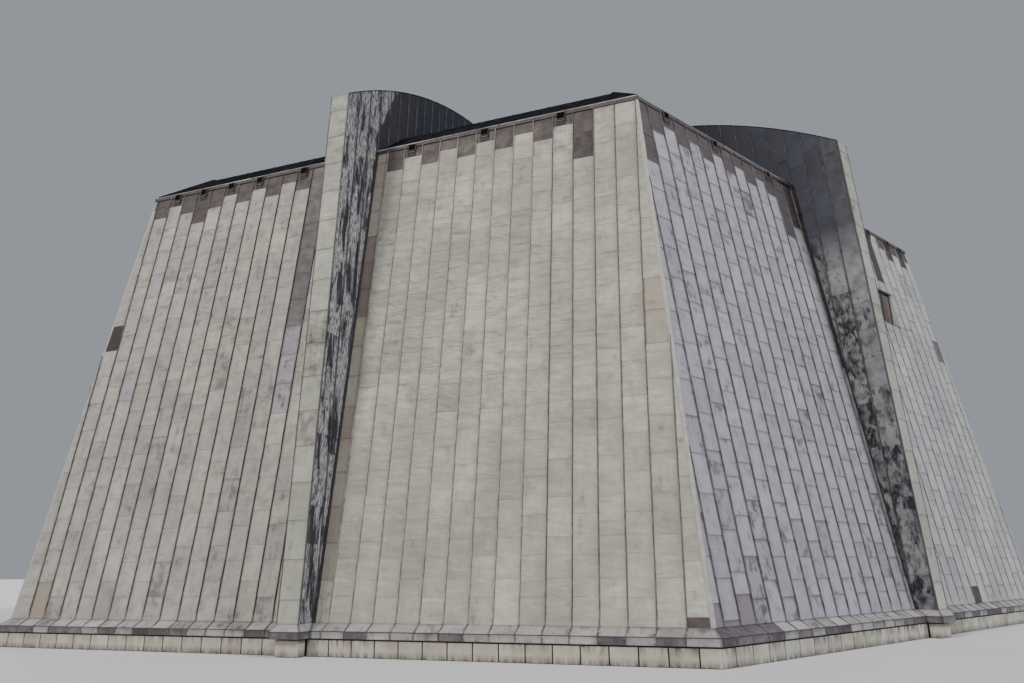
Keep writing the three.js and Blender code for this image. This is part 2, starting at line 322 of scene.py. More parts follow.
def joint_shade_finish():
    finish = Finish("plinth_core", gloss=0.2)
    cloud = finish.cloud(finish.place(), 6.0, 6)
    grain = finish.cloud(finish.place(), 70.0, 3)
    colour = finish.mixed(cloud, JOINT_DARK, JOINT_LIGHT)
    return finish.done(colour, finish.between(grain, 0, 1, 0.8, 1.0), [(grain, 0.004, 0.6)])


def panel_finish():
    finish = Finish("plinth_panel", gloss=0.3)
    metres = finish.note("metres")
    tone, grime, below_head = finish.parts(finish.note("wear"))[:3]
    above_foot = finish.parts(finish.note("edges"))[2]
    broad = finish.cloud(metres, 1.7, 4)
    streak = finish.cloud(finish.stretched(metres, 11, 2.2, 1), 1.0, 5)
    grain = finish.cloud(metres, 60.0, 4)
    colour = finish.mixed(finish.between(broad, 0.38, 0.65), PANEL_PALE, PANEL_WARM)
    splash = finish.times(finish.between(above_foot, 0.14, 0.0), finish.between(streak, 0.3, 0.6))
    colour = finish.mixed(splash, colour, PANEL_DIRT)
    drips = finish.times(finish.between(below_head, 0.20, 0.02), finish.between(streak, 0.42, 0.62))
    drips = finish.times(drips, finish.between(grime, 0.2, 1.0, 0.1, 1.0))
    colour = finish.mixed(drips, colour, PANEL_MOSS)
    colour = finish.shaded(colour, tone)
    rough = finish.between(grain, 0.2, 0.8, 0.55, 0.85)
    return finish.done(colour, rough, [(broad, 0.006, 0.25), (grain, 0.002, 0.35)])


def bare(node, material):
    """The solid of a node shows this material where no sheet covers it."""
    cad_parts[node].material_slots[0].material = material


plinth_core = joint_shade_finish()
plinth_panel = panel_finish()


def plinth_panels(number):
    """The panels of one side, on both halves of the wall's plinth and round the fin's plinth."""
    sheets = Sheets()

    def add_upright(place, left, right, seed):
        add_panel(sheets, place, left, right, PANEL_FOOT, PANEL_HEAD, PANEL_T, PANEL_ROUND, seed)

    def on_plinth(across, up, lift):
        return to_building(number, across, -PLINTH_OUT - lift, up)

    def on_fin_front(across, up, lift):
        return to_building(number, across, -FIN_PLINTH_OUT - lift, up)

    end = (APOTHEM + PLINTH_OUT + PANEL_T) * MITRE - PANEL_GAP / 2
    wide = RIB_HALF + PANEL_T
    for hand in (-1, 1):
        x = wide + PANEL_GAP
        while x < end - PANEL_GAP:
            stop = min(x + PANEL_W - PANEL_GAP, end)
            left, right = sorted((hand * x, hand * stop))
            add_upright(on_plinth, left, right, [number, hand + 1, int(x * 100)])
            x += PANEL_W

        def on_fin_flank(across, up, lift):
            return to_building(number, hand * (RIB_HALF + lift), across, up)

        inner = -PLINTH_OUT - PANEL_T - PANEL_GAP
        add_upright(on_fin_flank, -FIN_PLINTH_OUT, inner, [number, hand + 1])
    add_upright(on_fin_front, -wide, wide, [number])
    sheets.made(f"plinth_panels_{number}", "plinth_panel", plinth_panel)


for number in range(1, SIDES + 1):
    bare(f"plinth_{number}", plinth_core)
    plinth_panels(number)

# Bearing walls. Behind the sheets stands a cast wall, battered like them, and it shows only from
# inside the hall. It is plain grey concrete with the marks of the boards that it was cast against.
WALL_GREY = (0.30, 0.29, 0.27)
WALL_DARK = (0.20, 0.195, 0.185)
BOARD_H = 0.14
HANDS = {"left": -1, "right": 1}
EVERY_HALF = [(number, side) for number in range(1, SIDES + 1) for side in HANDS]


def cast_finish():
    finish = Finish("cast_wall", gloss=0.25)
    place = finish.place()
    broad = finish.cloud(place, 0.5, 5)
    grain = finish.cloud(place, 28.0, 5)
    height = finish.parts(place)[2]
    boards = finish.worked("PINGPONG", height, BOARD_H / 2)
    seam = finish.between(boards, 0.008, 0.0)
    colour = finish.mixed(broad, WALL_GREY, WALL_DARK)
    colour = finish.mixed(finish.times(seam, 0.5), colour, WALL_DARK)
    rough = finish.between(grain, 0, 1, 0.75, 0.95)
    return finish.done(colour, rough, [(seam, 0.003, 0.5), (grain, 0.002, 0.4)])


cast_wall = cast_finish()
for number, side in EVERY_HALF:
    bare(f"wall_{number}_{side}", cast_wall)

# Wall sheets. The battered walls are clad in upright strips of metal sheet, half a metre wide, between
# folded seams. Each strip is made of short sheets, each lapped over the one below and about half out of
# step with the next strip. They are pale, creased and stained, and the top ones were replaced in brown.
BATTER = math.radians(7.8)
LEAN = math.tan(BATTER)
FLARE_Z = 0.640
SHEET_TOP = 12.11
SHEET = 0.78
LEAST_SHEET = 0.14
WINDOW_LEFT_X = 3.45
WINDOW_RIGHT_X = 4.75
WINDOW_SILL_Z, WINDOW_HEAD_Z = (corner.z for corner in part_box("high_window"))
WINDOW_HALF = (1, "right")
OPENING_FROM = SIDE / 2 - WINDOW_RIGHT_X
OPENING_TO = SIDE / 2 - WINDOW_LEFT_X
OPENING_SILL = WINDOW_SILL_Z - FLARE_Z
OPENING_HEAD = WINDOW_HEAD_Z - FLARE_Z
SHEET_LIFT = 0.010
LIP = 0.007
LAP = 0.003
CORNER_RUN = LEAN * MITRE
RIB_GAP = 0.012
RIB_FACE = SIDE / 2 - RIB_HALF - RIB_GAP
RUN_OUT = 0.02
# The dark strip in the angle between wall and rib is painted shade in that corner.
JUNCTION_W = 0.075
JUNCTION_LIFT = 0.012
JUNCTION_TUCK = 0.008
JUNCTION_LAP = 1.9
JUNCTION_L = 2.0
COLUMNS = np.array([0.0, 0.05, 0.28, 0.5, 0.72, 0.95, 1.0])
ROWS = (0.03, 0.13, 0.26, 0.39, 0.52, 0.65)
WAVES = 3
BELLY = 0.6
WAVE_L = 0.42
WAVE_TURN = 0.45
ROW_ROOM = 0.06
SHEET_TONES = 0.06
SHEET_STAINS = 0.22
SHEET_SHIFT = 40
PALE, BROWN, DARK, TAN, STAINED, LILAC, DULL, RUSSET = range(8)
PALE_WARM = (0.395, 0.380, 0.325)
PALE_COOL = (0.345, 0.340, 0.372)
PALE_GREY = (0.362, 0.356, 0.344)
PALE_PINK = (0.335, 0.310, 0.288)
PALE_CLEAR = (0.410, 0.418, 0.400)
PALE_OLIVE = (0.280, 0.272, 0.222)
PALE_DULL = (0.225, 0.215, 0.200)
PALE_PURPLE = (0.225, 0.208, 0.228)
TAN_TONE = (0.275, 0.232, 0.185)
LILAC_TONE = (0.205, 0.160, 0.185)
GREY_TONE = (0.305, 0.296, 0.310)
DULL_TONE = (0.128, 0.116, 0.120)
DULL_DEEP = (0.088, 0.078, 0.080)
RUSSET_TONE = (0.195, 0.145, 0.122)
BROWN_TONE = (0.074, 0.057, 0.055)
BROWN_DEEP = (0.046, 0.035, 0.035)
DARK_TONE = (0.046, 0.033, 0.037)
DARK_DEEP = (0.026, 0.019, 0.022)
STAIN = (0.075, 0.060, 0.068)
SEAM_GRIME_AND_SHADE = (0.055, 0.048, 0.050)


def unevenness(across, up, owner, seed, size, spread):
    """Waves in hand-laid sheet, from about -1 to 1. Each sheet of the strip has its own, mostly
    level, and spread is how far they turn from level."""
    draw = np.random.default_rng(seed)
    count = owner.max() + 1
    total = 0
    for _ in range(WAVES):
        angle = draw.normal(math.pi / 2, spread, count)[owner][:, None]
        length = size * draw.uniform(0.6, 1.7, count)[owner][:, None]
        start = draw.uniform(0, 2 * math.pi, count)[owner][:, None]
        along = across * np.cos(angle) + up * np.sin(angle)
        total = total + np.sin(2 * math.pi * along / length + start)
    return total / math.sqrt(WAVES)


def strip_rows(joints, bend):
    """The height of each row of a strip, and the sheet that it belongs to, with a row at the bend."""
    heights, owner = [], []
    for sheet, (low, high) in enumerate(pairwise(joints)):
        inner = [low + step for step in ROWS if low + step < high - ROW_ROOM]
        if bend is not None and low + LAP < bend < high - LAP:
            inner = sorted([*inner, bend])
        for height in (low + LAP / 2, *inner, high - LAP / 2):
            heights.append(height)
            owner.append(sheet)
    return np.array(heights), np.array(owner)


def upright(s):
    """An edge or seam that stays at s at every height."""
    return lambda height: np.full_like(height, s)


def cut_by(s, slant):
    """An edge that stays at s until a slanting edge cuts it."""
    return lambda height: np.maximum(s, slant(height))


def add_strip(sheets, place, left, right, joints, finishes, seed, crease=0.003, clip=None, stain=0.25,
              lip=LIP, bend=None):
    """One strip of lapped sheets. Left and right give its edges at each height, joints are the heights
    of the laps with the foot and the head, finishes are one material number or one for each sheet, clip
    moves points to the strip's true outline, and bend is the height where an edge turns."""
    heights, owner = strip_rows(joints, bend)
    draw = np.random.default_rng([*seed, 7])
    count = len(joints) - 1
    start, stop = left(heights)[:, None], right(heights)[:, None]
    across = start + (stop - start) * COLUMNS
    up = np.repeat(heights[:, None], len(COLUMNS), axis=1)
    outside = np.zeros_like(up, dtype=bool)
    if clip is not None:
        trimmed = clip(across, up)
        outside = np.abs(trimmed[0] - across) + np.abs(trimmed[1] - up) > 1e-6
        across, up = trimmed
    low = np.array(joints)[owner][:, None]
    high = np.array(joints)[owner + 1][:, None]
    share = np.clip((up - low) / (high - low), 0, 1)
    belly = np.sin(math.pi * np.linspace(0, 1, len(COLUMNS))) * np.sin(math.pi * share) ** 0.5
    waves = unevenness(across, up, owner, [*seed, 3], WAVE_L, WAVE_TURN)
    lift = SHEET_LIFT + lip * (1 - share) + crease * belly * (BELLY + waves)
    lift = np.where(outside, SHEET_LIFT, lift)
    offset = draw.uniform(0, SHEET_SHIFT, count)
    tone = 1 + draw.normal(0, SHEET_TONES, count)
    spots = np.clip(stain + draw.normal(0, SHEET_STAINS, count), 0, 1)
    sheets.lay(
        place, across, up, lift, np.broadcast_to(finishes, count)[owner[:-1]],
        metres=triples(across, up, offset[owner][:, None]),
        edges=triples(across - start, stop - across, up - low),
        wear=triples(tone[owner][:, None], spots[owner][:, None], high - up),
    )


def sheet_finish(name, first, second, patch, stains, lap_dirt=0.55, seam_dirt_and_shade=0.06, dents=0.035):
    """Weathered sheet: two tones in broad clouds, a patch tone, streaks that run down, dark stains,
    small pits, grime at the laps, grime and painted shadow beside the seams, fine grain, dents of the
    given depth and a dull shine."""
    finish = Finish(name, 0.1, 0.35)
    metres = finish.note("metres")
    flat = finish.stretched(metres, 1, 1, 0)
    up = finish.parts(metres)[1]
    left, right, above_lap = finish.parts(finish.note("edges"))[:3]
    tone, spots, below_head = finish.parts(finish.note("wear"))[:3]
    broad = finish.cloud(flat, 0.55, 4)
    mottle = finish.cloud(metres, 3.2, 6, 0.62)
    streak = finish.cloud(finish.stretched(metres, 13, 0.8, 1), 1.0, 5, 0.6)
    level_marks = finish.cloud(finish.stretched(metres, 2.2, 11, 1), 1.0, 5, 0.6, 0.6)
    pits = finish.cloud(metres, 17.0, 3, 0.5)
    grain = finish.cloud(metres, 48.0, 4, 0.65)
    dent = finish.cloud(finish.stretched(metres, 2.0, 5.5, 1), 1.0, 3, 0.42, 0.35)
    dent = finish.times(dent, finish.between(up, 3.0, 7.0, 0.45, 1.0))
    colour = finish.mixed(finish.between(broad, 0.40, 0.60), first, second)
    colour = finish.laid(colour, patch, spots, 0.35, 1.0, 0.45)
    colour = finish.laid(colour, patch, mottle, 0.44, 0.66, 0.7)
    colour = finish.laid(colour, patch, streak, 0.50, 0.72, 0.5)
    colour = finish.laid(colour, patch, level_marks, 0.54, 0.70, 0.35)
    blot = finish.plus(mottle, finish.times(finish.minus(spots, 0.5), 0.25))
    blot = finish.plus(blot, finish.times(finish.minus(streak, 0.5), 0.5))
    colour = finish.laid(colour, STAIN, blot, 0.56, 0.72, stains)
    pit = finish.times(finish.between(pits, 0.66, 0.72), finish.between(broad, 0.45, 0.60))
    colour = finish.mixed(finish.times(pit, stains), colour, STAIN)
    rim = finish.plus(finish.worked("MINIMUM", left, right), finish.times(mottle, 0.04))
    # Darker beside the seams: grime with painted shadow of the seam.
    colour = finish.laid(colour, SEAM_GRIME_AND_SHADE, rim, 0.022 + seam_dirt_and_shade, 0.024, 0.75)
    lap = finish.plus(above_lap, finish.times(streak, 0.014))
    colour = finish.laid(colour, SEAM_GRIME_AND_SHADE, lap, 0.024, 0.012, lap_dirt)
    hem = finish.plus(below_head, finish.times(streak, 0.10))
    drip = finish.times(finish.between(hem, 0.13, 0.04, 0, lap_dirt), finish.between(spots, 0, 0.7, 0.2, 1))
    colour = finish.mixed(drip, colour, SEAM_GRIME_AND_SHADE)
    speck = finish.between(grain, 0.25, 0.75, 0.86, 1.14)
    level = finish.times(speck, tone)
    colour = finish.shaded(colour, level)
    rough = finish.between(mottle, 0.3, 0.7, 0.44, 0.66)
    rough = finish.plus(rough, finish.between(grain, 0.3, 0.7, 0, 0.08))
    return finish.done(colour, rough, [(dent, dents, 0.8), (mottle, 0.008, 0.4), (grain, 0.0015, 0.4)])


plain_sheet = sheet_finish("plain_sheet", PALE_WARM, PALE_GREY, PALE_DULL, 0.6)
warm_sheet = sheet_finish("warm_sheet", PALE_WARM, PALE_PINK, PALE_DULL, 0.5, 0.25, 0.045, 0.05)
creased_sheet = sheet_finish("creased_sheet", PALE_WARM, PALE_OLIVE, PALE_OLIVE, 0.4, 0.14, 0.022, 0.085)
cool_sheet = sheet_finish("cool_sheet", PALE_COOL, PALE_COOL, PALE_PURPLE, 0.8, 0.62, 0.055)
clear_sheet = sheet_finish("clear_sheet", PALE_CLEAR, PALE_COOL, PALE_OLIVE, 0.5, 0.55, 0.018)
brown_sheet = sheet_finish("brown_sheet", BROWN_TONE, BROWN_TONE, BROWN_DEEP, 0.35)
dark_sheet = sheet_finish("dark_sheet", DARK_TONE, DARK_TONE, DARK_DEEP, 0.3)
tan_sheet = sheet_finish("tan_sheet", TAN_TONE, PALE_OLIVE, TAN_TONE, 0.5)
stained_sheet = sheet_finish("stained_sheet", GREY_TONE, GREY_TONE, PALE_PURPLE, 0.8)
lilac_sheet = sheet_finish("lilac_sheet", LILAC_TONE, PALE_PURPLE, LILAC_TONE, 0.5)
dull_sheet = sheet_finish("dull_sheet", DULL_TONE, DULL_TONE, DULL_DEEP, 0.6)
russet_sheet = sheet_finish("russet_sheet", RUSSET_TONE, RUSSET_TONE, DULL_TONE, 0.5)

# Where the strips of a half lie, counted from the corner along the flare line: the first seam, the
# distance from seam to seam, and which strips have a long top sheet. Own gives some strips their own
# upper lap and foot lap. Others are the sheets that differ, as (strip, from height, to height,
# finish), with heights above the flare line. One count gives how many seams, from the corner, are
# dark: dirt with painted shadow along them.
USUAL = {
    "first": 0.50, "pitch": 0.5275, "long": 1, "short_joint": 11.77, "long_joint": 11.43, "lip": LIP,
    "crease": 0.0035, "stain": 0.2, "sheet": plain_sheet, "own": {}, "seam_h": 0.030, "painted_shade_seams": 99,
    "others": [(14, 10.6, SHEET_TOP, DARK), (4, 11.0, 11.5, BROWN)],
}
RIGHT_SIDE = USUAL | {"first": 0.28, "long": 0, "short_joint": 11.69, "long_joint": 11.36, "crease": 0.003}
HALVES = {
    "6_right": USUAL | {
        "first": 0.47, "crease": 0.0085, "stain": 0.12, "sheet": creased_sheet, "own": {-1: (2.70, 0.17)},
        "painted_shade_seams": 6, "lip": 0.003,
        "others": [
            (0, 11.0, SHEET_TOP, PALE), (1, 11.0, SHEET_TOP, PALE), (2, 11.0, SHEET_TOP, PALE),
            (3, 10.5, 11.4, DARK), (14, 1.0, SHEET_TOP, TAN), (14, 7.0, 9.4, RUSSET), (0, 5.5, 7.0, TAN),
            (-1, 0.0, 0.1, BROWN),
        ],
    },
    "6_left": USUAL | {
        "first": 0.57, "pitch": 0.512, "crease": 0.0045, "stain": 0.3, "sheet": warm_sheet, "lip": 0.004,
        # Strip 12, beside the fin, is dull and stained: stains with painted shade of the fin on them.
        "others": [
            (4, 10.9, 11.7, BROWN), (0, 7.1, 7.6, DARK), (2, 8.7, 9.4, STAINED), (2, 5.6, 6.4, STAINED),
            (12, 7.0, SHEET_TOP, DULL), (12, 4.6, 7.0, STAINED), (0, 0.0, 0.6, TAN),
        ],
    },
    "1_left": RIGHT_SIDE | {
        "pitch": 0.5125, "stain": 0.34, "sheet": cool_sheet, "seam_h": 0.032,
        "own": {-1: (2.0, 0.40), 0: (9.40, 0.10), 1: (11.07, 0.53)},
        # Strip 15, beside the rib, is dark from 6 m up: painted shade of the rib.
        "others": [
            (1, 10.2, SHEET_TOP, BROWN), (13, 9.8, SHEET_TOP, BROWN), (14, 10.5, SHEET_TOP, DARK),
            (15, 6.0, SHEET_TOP, DARK), (1, 0.0, 0.5, LILAC), (0, 0.0, 0.1, LILAC), (-1, 0.0, 0.4, LILAC),
            (2, 9.2, 10.8, STAINED), (1, 6.0, 7.9, STAINED), (1, 1.7, 3.2, STAINED), (0, 4.0, 4.8, STAINED),
        ],
    },
    "1_right": RIGHT_SIDE | {
        "pitch": 0.52, "stain": 0.16, "sheet": clear_sheet, "seam_h": 0.024, "painted_shade_seams": 0,
        "others": [
            (7, 10.3, SHEET_TOP, DARK), (6, 11.0, SHEET_TOP, PALE), (4, 11.0, SHEET_TOP, DARK),
            (2, 11.0, SHEET_TOP, DARK), (1, 7.6, 8.4, DULL), (8, 0.0, 0.5, BROWN),
        ],
    },
}


def half_of(number, side):
    return HALVES.get(f"{number}_{side}", USUAL)


def seams_of(number, side):
    """The places of the seams of one half, from the corner to the rib."""
    half = half_of(number, side)
    seams = np.arange(half["first"], RIB_FACE - ROW_ROOM, half["pitch"])
    return [0.0, *seams.tolist(), RIB_FACE]


def joints_of(half, strip, top):
    """The heights of the laps of one strip, with its foot and head."""
    first = half["long_joint"] if strip % 2 == half["long"] else half["short_joint"]
    first, foot = half["own"].get(strip, (first, 0.0))
    joints = np.arange(first, foot + LEAST_SHEET, -SHEET)[::-1]
    feet = [0.0, foot] if foot else [0.0]
    return [*feet, *joints[joints < top - LEAST_SHEET].tolist(), top]


def on_wall(number, side):
    """The face of a half: s from the corner along the flare line, height above it, lift off it."""
    hand = HANDS[side]

    def place(s, height, lift):
        inwards = height * LEAN - lift * math.cos(BATTER)
        return to_building(number, hand * (SIDE / 2 - s), inwards, FLARE_Z + height + lift * math.sin(BATTER))

    return place


def corner_edge(height):
    return height * CORNER_RUN


def pieces_of(number, side, start, stop, low, high):
    """The parts of a strip, as (left, right, foot, head): one, or those round the window's opening."""
    if (number, side) != WINDOW_HALF or stop < OPENING_FROM or start > OPENING_TO:
        return [(start, stop, low, high)]
    parts = [(start, stop, low, OPENING_SILL), (start, stop, OPENING_HEAD, high)]
    if start < OPENING_FROM - RUN_OUT:
        parts.append((start, OPENING_FROM, OPENING_SILL, OPENING_HEAD))
    if stop > OPENING_TO + RUN_OUT:
        parts.append((OPENING_TO, stop, OPENING_SILL, OPENING_HEAD))
    return parts


def finishes_of(half, strip, laps, brown_from):
    """The finish of each sheet of a strip, by the height of its middle."""
    middles = [(a + b) / 2 for a, b in pairwise(laps)]
    finishes = [BROWN if middle > brown_from else PALE for middle in middles]
    for other, low, high, finish in half["others"]:
        if other == strip:
            finishes = [finish if low < m < high else old for m, old in zip(middles, finishes)]
    return finishes


def wall_sheets(number, side):
    """The sheets of one half of a wall, as one mesh. The top sheets of its full strips are brown."""
    half = half_of(number, side)
    sheets = Sheets()
    for strip, (start, stop) in enumerate(pairwise(seams_of(number, side)), start=-1):
        top = min(SHEET_TOP, (stop - RUN_OUT) / CORNER_RUN)
        joints = joints_of(half, strip, top)
        brown_from = joints[-2] if top == SHEET_TOP else SHEET_TOP
        for index, (left, right, foot, head) in enumerate(pieces_of(number, side, start, stop, 0.0, top)):
            laps = [foot, *[j for j in joints if foot + RUN_OUT < j < head - LEAST_SHEET], head]
            seed = [number, HANDS[side] + 1, strip + 1, index]
            add_strip(sheets, on_wall(number, side), cut_by(left, corner_edge), upright(right), laps,
                      finishes_of(half, strip, laps, brown_from), seed,
                      half["crease"], stain=half["stain"], lip=half["lip"])
    sheets.made(f"wall_sheets_{number}_{side}", "wall_sheet", half["sheet"], brown_sheet, dark_sheet,
                tan_sheet, stained_sheet, lilac_sheet, dull_sheet, russet_sheet)


def junction_shade(number, side):
    """A dark folded strip in the angle between the sheets of a half and the rib, painted shade along that
    corner.
    """
    wall = on_wall(number, side)
    place = lambda s, height, lift: wall(s, height, lift + JUNCTION_LIFT)
    sheets = Sheets()
    joints = [0.0, *np.arange(JUNCTION_LAP, SHEET_TOP - 1, JUNCTION_L).tolist(), SHEET_TOP]
    add_strip(sheets, place, upright(RIB_FACE - JUNCTION_W), upright(RIB_FACE + JUNCTION_TUCK), joints, 0,
              [number, len(side), 17], 0.001)
    sheets.made(f"junction_{number}_{side}", "wall_sheet", dark_sheet)


for number, side in EVERY_HALF:
    wall_sheets(number, side)
    junction_shade(number, side)

# Standing seams. Where two strips meet, their edges are turned up and folded over together into an
# upright rib a thumb high. Its dark tone is gathered dirt and painted shadow along it. It is a little
# bent by hand, and lies down at its foot where the wall kicks out. A pale rolled strip closes each
# corner of the hall.
SEAM_W = 0.009
SEAM_CREST = 0.006
SEAM_H = 0.036
SEAM_START = 0.01
SEAM_FOOT = 0.20
SEAM_STEP = 0.34
SEAM_BEND = 0.004
SEAM_SHARE = 0.18
SEAM_CLEAR = 0.05
CORNER_ROLL = [(0.0, 0.018), (0.018, 0.0145), (0.038, 0.004), (0.055, -0.014)]
CORNER_BEND = 0.003
CORNER_POINTS = 24
CORNER_TONE = (0.300, 0.294, 0.280)
SEAM_TONE = (0.070, 0.060, 0.064)
SEAM_WORN = (0.170, 0.158, 0.148)
CLEAN_TONE = (0.175, 0.165, 0.145)
CLEAN_WORN = (0.320, 0.310, 0.280)


def seam_finish(name, tone, worn_tone):
    finish = Finish(name, 0.15, 0.4)
    metres = finish.note("metres")
    mottle = finish.cloud(metres, 5.0, 5)
    grain = finish.cloud(metres, 60.0, 3)
    crest = finish.parts(finish.note("edges"))[0]
    worn = finish.times(crest, finish.between(mottle, 0.42, 0.62))
    colour = finish.mixed(worn, tone, worn_tone)
    return finish.done(colour, finish.between(mottle, 0.3, 0.7, 0.45, 0.7), [(grain, 0.001, 0.4)])


# The dark seam tone is dirt with painted shadow of the seam's sides; the clean one is paler.
seam_sheet = seam_finish("seam_sheet", SEAM_TONE, SEAM_WORN)
clean_seam = seam_finish("clean_seam", CLEAN_TONE, CLEAN_WORN)
corner_sheet = seam_finish("corner_sheet", CORNER_TONE, PALE_WARM)


def add_seam(sheets, place, s_of, low, high, seed, height=SEAM_H, half_width=SEAM_W, foot=0.0, finish=0):
    """One folded seam, from low to high along the line s_of(height), lying down over its foot."""
    draw = np.random.default_rng(seed)
    up = np.linspace(low, high, max(2, int((high - low) / SEAM_STEP) + 1))
    if foot:
        up = np.concatenate([[low, low + foot / 3, low + foot], up[up > low + foot + SEAM_CLEAR]])
    bend = draw.normal(0, SEAM_BEND, len(up))
    rise = height * np.clip(SEAM_SHARE + (up - low) / foot, 0, 1) if foot else np.full(len(up), height)
    across = s_of(up)[:, None] + np.array([-half_width, -SEAM_CREST, SEAM_CREST, half_width])
    across[:, 1:3] += bend[:, None]
    lift = rise[:, None] * np.array([0, 1, 1, 0]) + SHEET_LIFT * np.array([0.5, 1, 1, 0.5])
    up = np.repeat(up[:, None], 4, axis=1)
    crest = triples([0.0, 1.0, 1.0, 0.0], 0.0, 0 * up)
    metres = triples(across, up, draw.uniform(0, SHIFT))
    sheets.lay(place, across, up, lift, finish, metres=metres, edges=crest, wear=1.0)


def wall_seams(number, side):
    """The seams of one half, cut at its corner and at the window's opening."""
    half = half_of(number, side)
    sheets = Sheets()
    for index, s in enumerate(seams_of(number, side)[1:-1]):
        high = min(SHEET_TOP, (s - RUN_OUT) / CORNER_RUN)
        if high < 2 * SEAM_FOOT:
            continue
        for _, _, low, head in pieces_of(number, side, s, s, SEAM_START, high):
            seed = [number, HANDS[side] + 1, index]
            foot = SEAM_FOOT if low == SEAM_START else 0
            # Seams near the corner take the dark sheet, dirt with painted shadow, and the others the clean
            # one.
            add_seam(sheets, on_wall(number, side), upright(s), low, head, seed, half["seam_h"], foot=foot,
                     finish=int(index >= half["painted_shade_seams"]))
    sheets.made(f"wall_seams_{number}_{side}", "wall_sheet", seam_sheet, clean_seam)


def along_corner(number, name, slot, finish, inwards, heights, profile):
    """A folded strip along the corner at the right end of a side, over points given by how far in the
    sides are there and their height. Profile is its section, as (across, up)."""
    draw = np.random.default_rng([number, 5])
    turn = number * 2 * math.pi / SIDES
    profile = np.array(profile)
    inner = np.array([0.0, *[1.0] * (len(profile) - 2), 0.0])
    reach = (APOTHEM - inwards) / math.cos(math.pi / SIDES)
    slope = np.arctan2(np.gradient(heights), -np.gradient(reach))[:, None]
    across = profile[:, 0] + draw.normal(0, CORNER_BEND, len(heights))[:, None] * inner

    def place(across, raised):
        out = reach[:, None] + raised * np.sin(slope)
        east = across * math.cos(turn) + out * math.sin(turn)
        north = across * math.sin(turn) - out * math.cos(turn)
        return triples(east, north, heights[:, None] + raised * np.cos(slope))

    ends = [0, -1]
    front = place(across, profile[:, 1])
    back = place(across[:, ends], profile[ends, 1] - profile[-1, 0])
    up = front[..., 2]
    sheets = Sheets()
    metres, crest = triples(across, up, number), triples(inner, 0.0, 0 * up)
    sheets.add(front, back, 0, metres=metres, edges=crest, wear=1.0)
    sheets.made(f"{name}_{number}", slot, finish)


def corner_seam(number):
    """The rolled strip of one corner. Its section is the same on both sides of the corner's edge."""
    up = np.linspace(0.0, SHEET_TOP, CORNER_POINTS)
    profile = [(-across, lift) for across, lift in CORNER_ROLL[:0:-1]] + CORNER_ROLL
    along_corner(number, "corner_seam", "wall_sheet", corner_sheet, up * LEAN, FLARE_Z + up, profile)


for number in range(1, SIDES + 1):
    corner_seam(number)
for number, side in EVERY_HALF:
    wall_seams(number, side)

# Skirt. Below the flare line the sheets kick out over the plinth in short bays, one to a strip, with
# low flattened seams, and end in an upright drip band of patched, stained sheet. The same skirt goes
# round the foot of each fin.
KICK_OUT = 0.25
KICK_DROP = 0.150
DRIP_DROP = 0.140
KICK_L = math.hypot(KICK_OUT, KICK_DROP)
FIN_FOOT_OUT = 0.510
FIN_KICK = 0.120
BAY_ROWS = 4
BAY_COLUMNS = 5
BAY_WAVE = 0.002
BAY_RIPPLE = 9.0
BAY_TONES = 0.11
BAY_SHIFT = 30
KICK_FACING = (0.5, 0.86)
KICK_LIFT = 0.006
KICK_EDGE = 0.003
FIN_JOINT = 0.002
FOLD_H = 0.016
DRIP_FOLD_H = 0.006
FLAT_SEAM = 0.008
KICK_TONE = (0.345, 0.334, 0.322)
DRIP_TONE = (0.098, 0.082, 0.092)
DRIP_DEEP = (0.036, 0.028, 0.033)
DRIP_LIGHT = (0.190, 0.168, 0.175)
PALE_BAYS = 0.5
FOLD_GAP = 0.008
STAINED_HALF = (1, "left")
STAINED_BAYS = 4
CORE_TONE = (0.030, 0.026, 0.028)

kick_sheet = sheet_finish("kick_sheet", KICK_TONE, KICK_TONE, PALE_DULL, 0.6, dents=0.015)
drip_sheet = sheet_finish("drip_sheet", DRIP_TONE, DRIP_LIGHT, DRIP_DEEP, 0.8, dents=0.01)


def kick_share(along):
    return np.clip(along / KICK_L, 0, 1)


def skirt_profile(along, lift, out, fall):
    """How far out and how high a point of the skirt is, along from the flare line over the kick of
    length KICK_L and down the drip band. Out is the kick's reach on this face, and fall its drop."""
    share = kick_share(along)
    down = np.clip(along - KICK_L, 0, None)
    slope = np.where(along < KICK_L, 1.0, 0.0)
    reach = out * share + lift * (slope * KICK_FACING[0] + (1 - slope))
    height = FLARE_Z - fall * share - down + lift * slope * KICK_FACING[1]
    return reach, height


def add_bay(sheets, place, left, right, low, high, finish, seed):
    """One bay of the skirt between two seams. Left and right give its edges at each place along."""
    draw = np.random.default_rng(seed)
    along = np.linspace(low, high, BAY_ROWS)
    share = np.linspace(0, 1, BAY_COLUMNS)
    start, stop = left(along)[:, None], right(along)[:, None]
    across = start + (stop - start) * share
    up = np.repeat(along[:, None], BAY_COLUMNS, axis=1)
    lift = KICK_LIFT + BAY_WAVE * np.sin(across * BAY_RIPPLE + draw.uniform(0, 6)) * np.sin(math.pi * share)
    sheets.lay(
        place, across, up, lift, finish, REAR / 2,
        metres=triples(across, -up, draw.uniform(0, BAY_SHIFT)),
        edges=triples(across - start, stop - across, high - up),
        wear=triples(1 + draw.normal(0, BAY_TONES), draw.uniform(0.1, 1), up - low),
    )


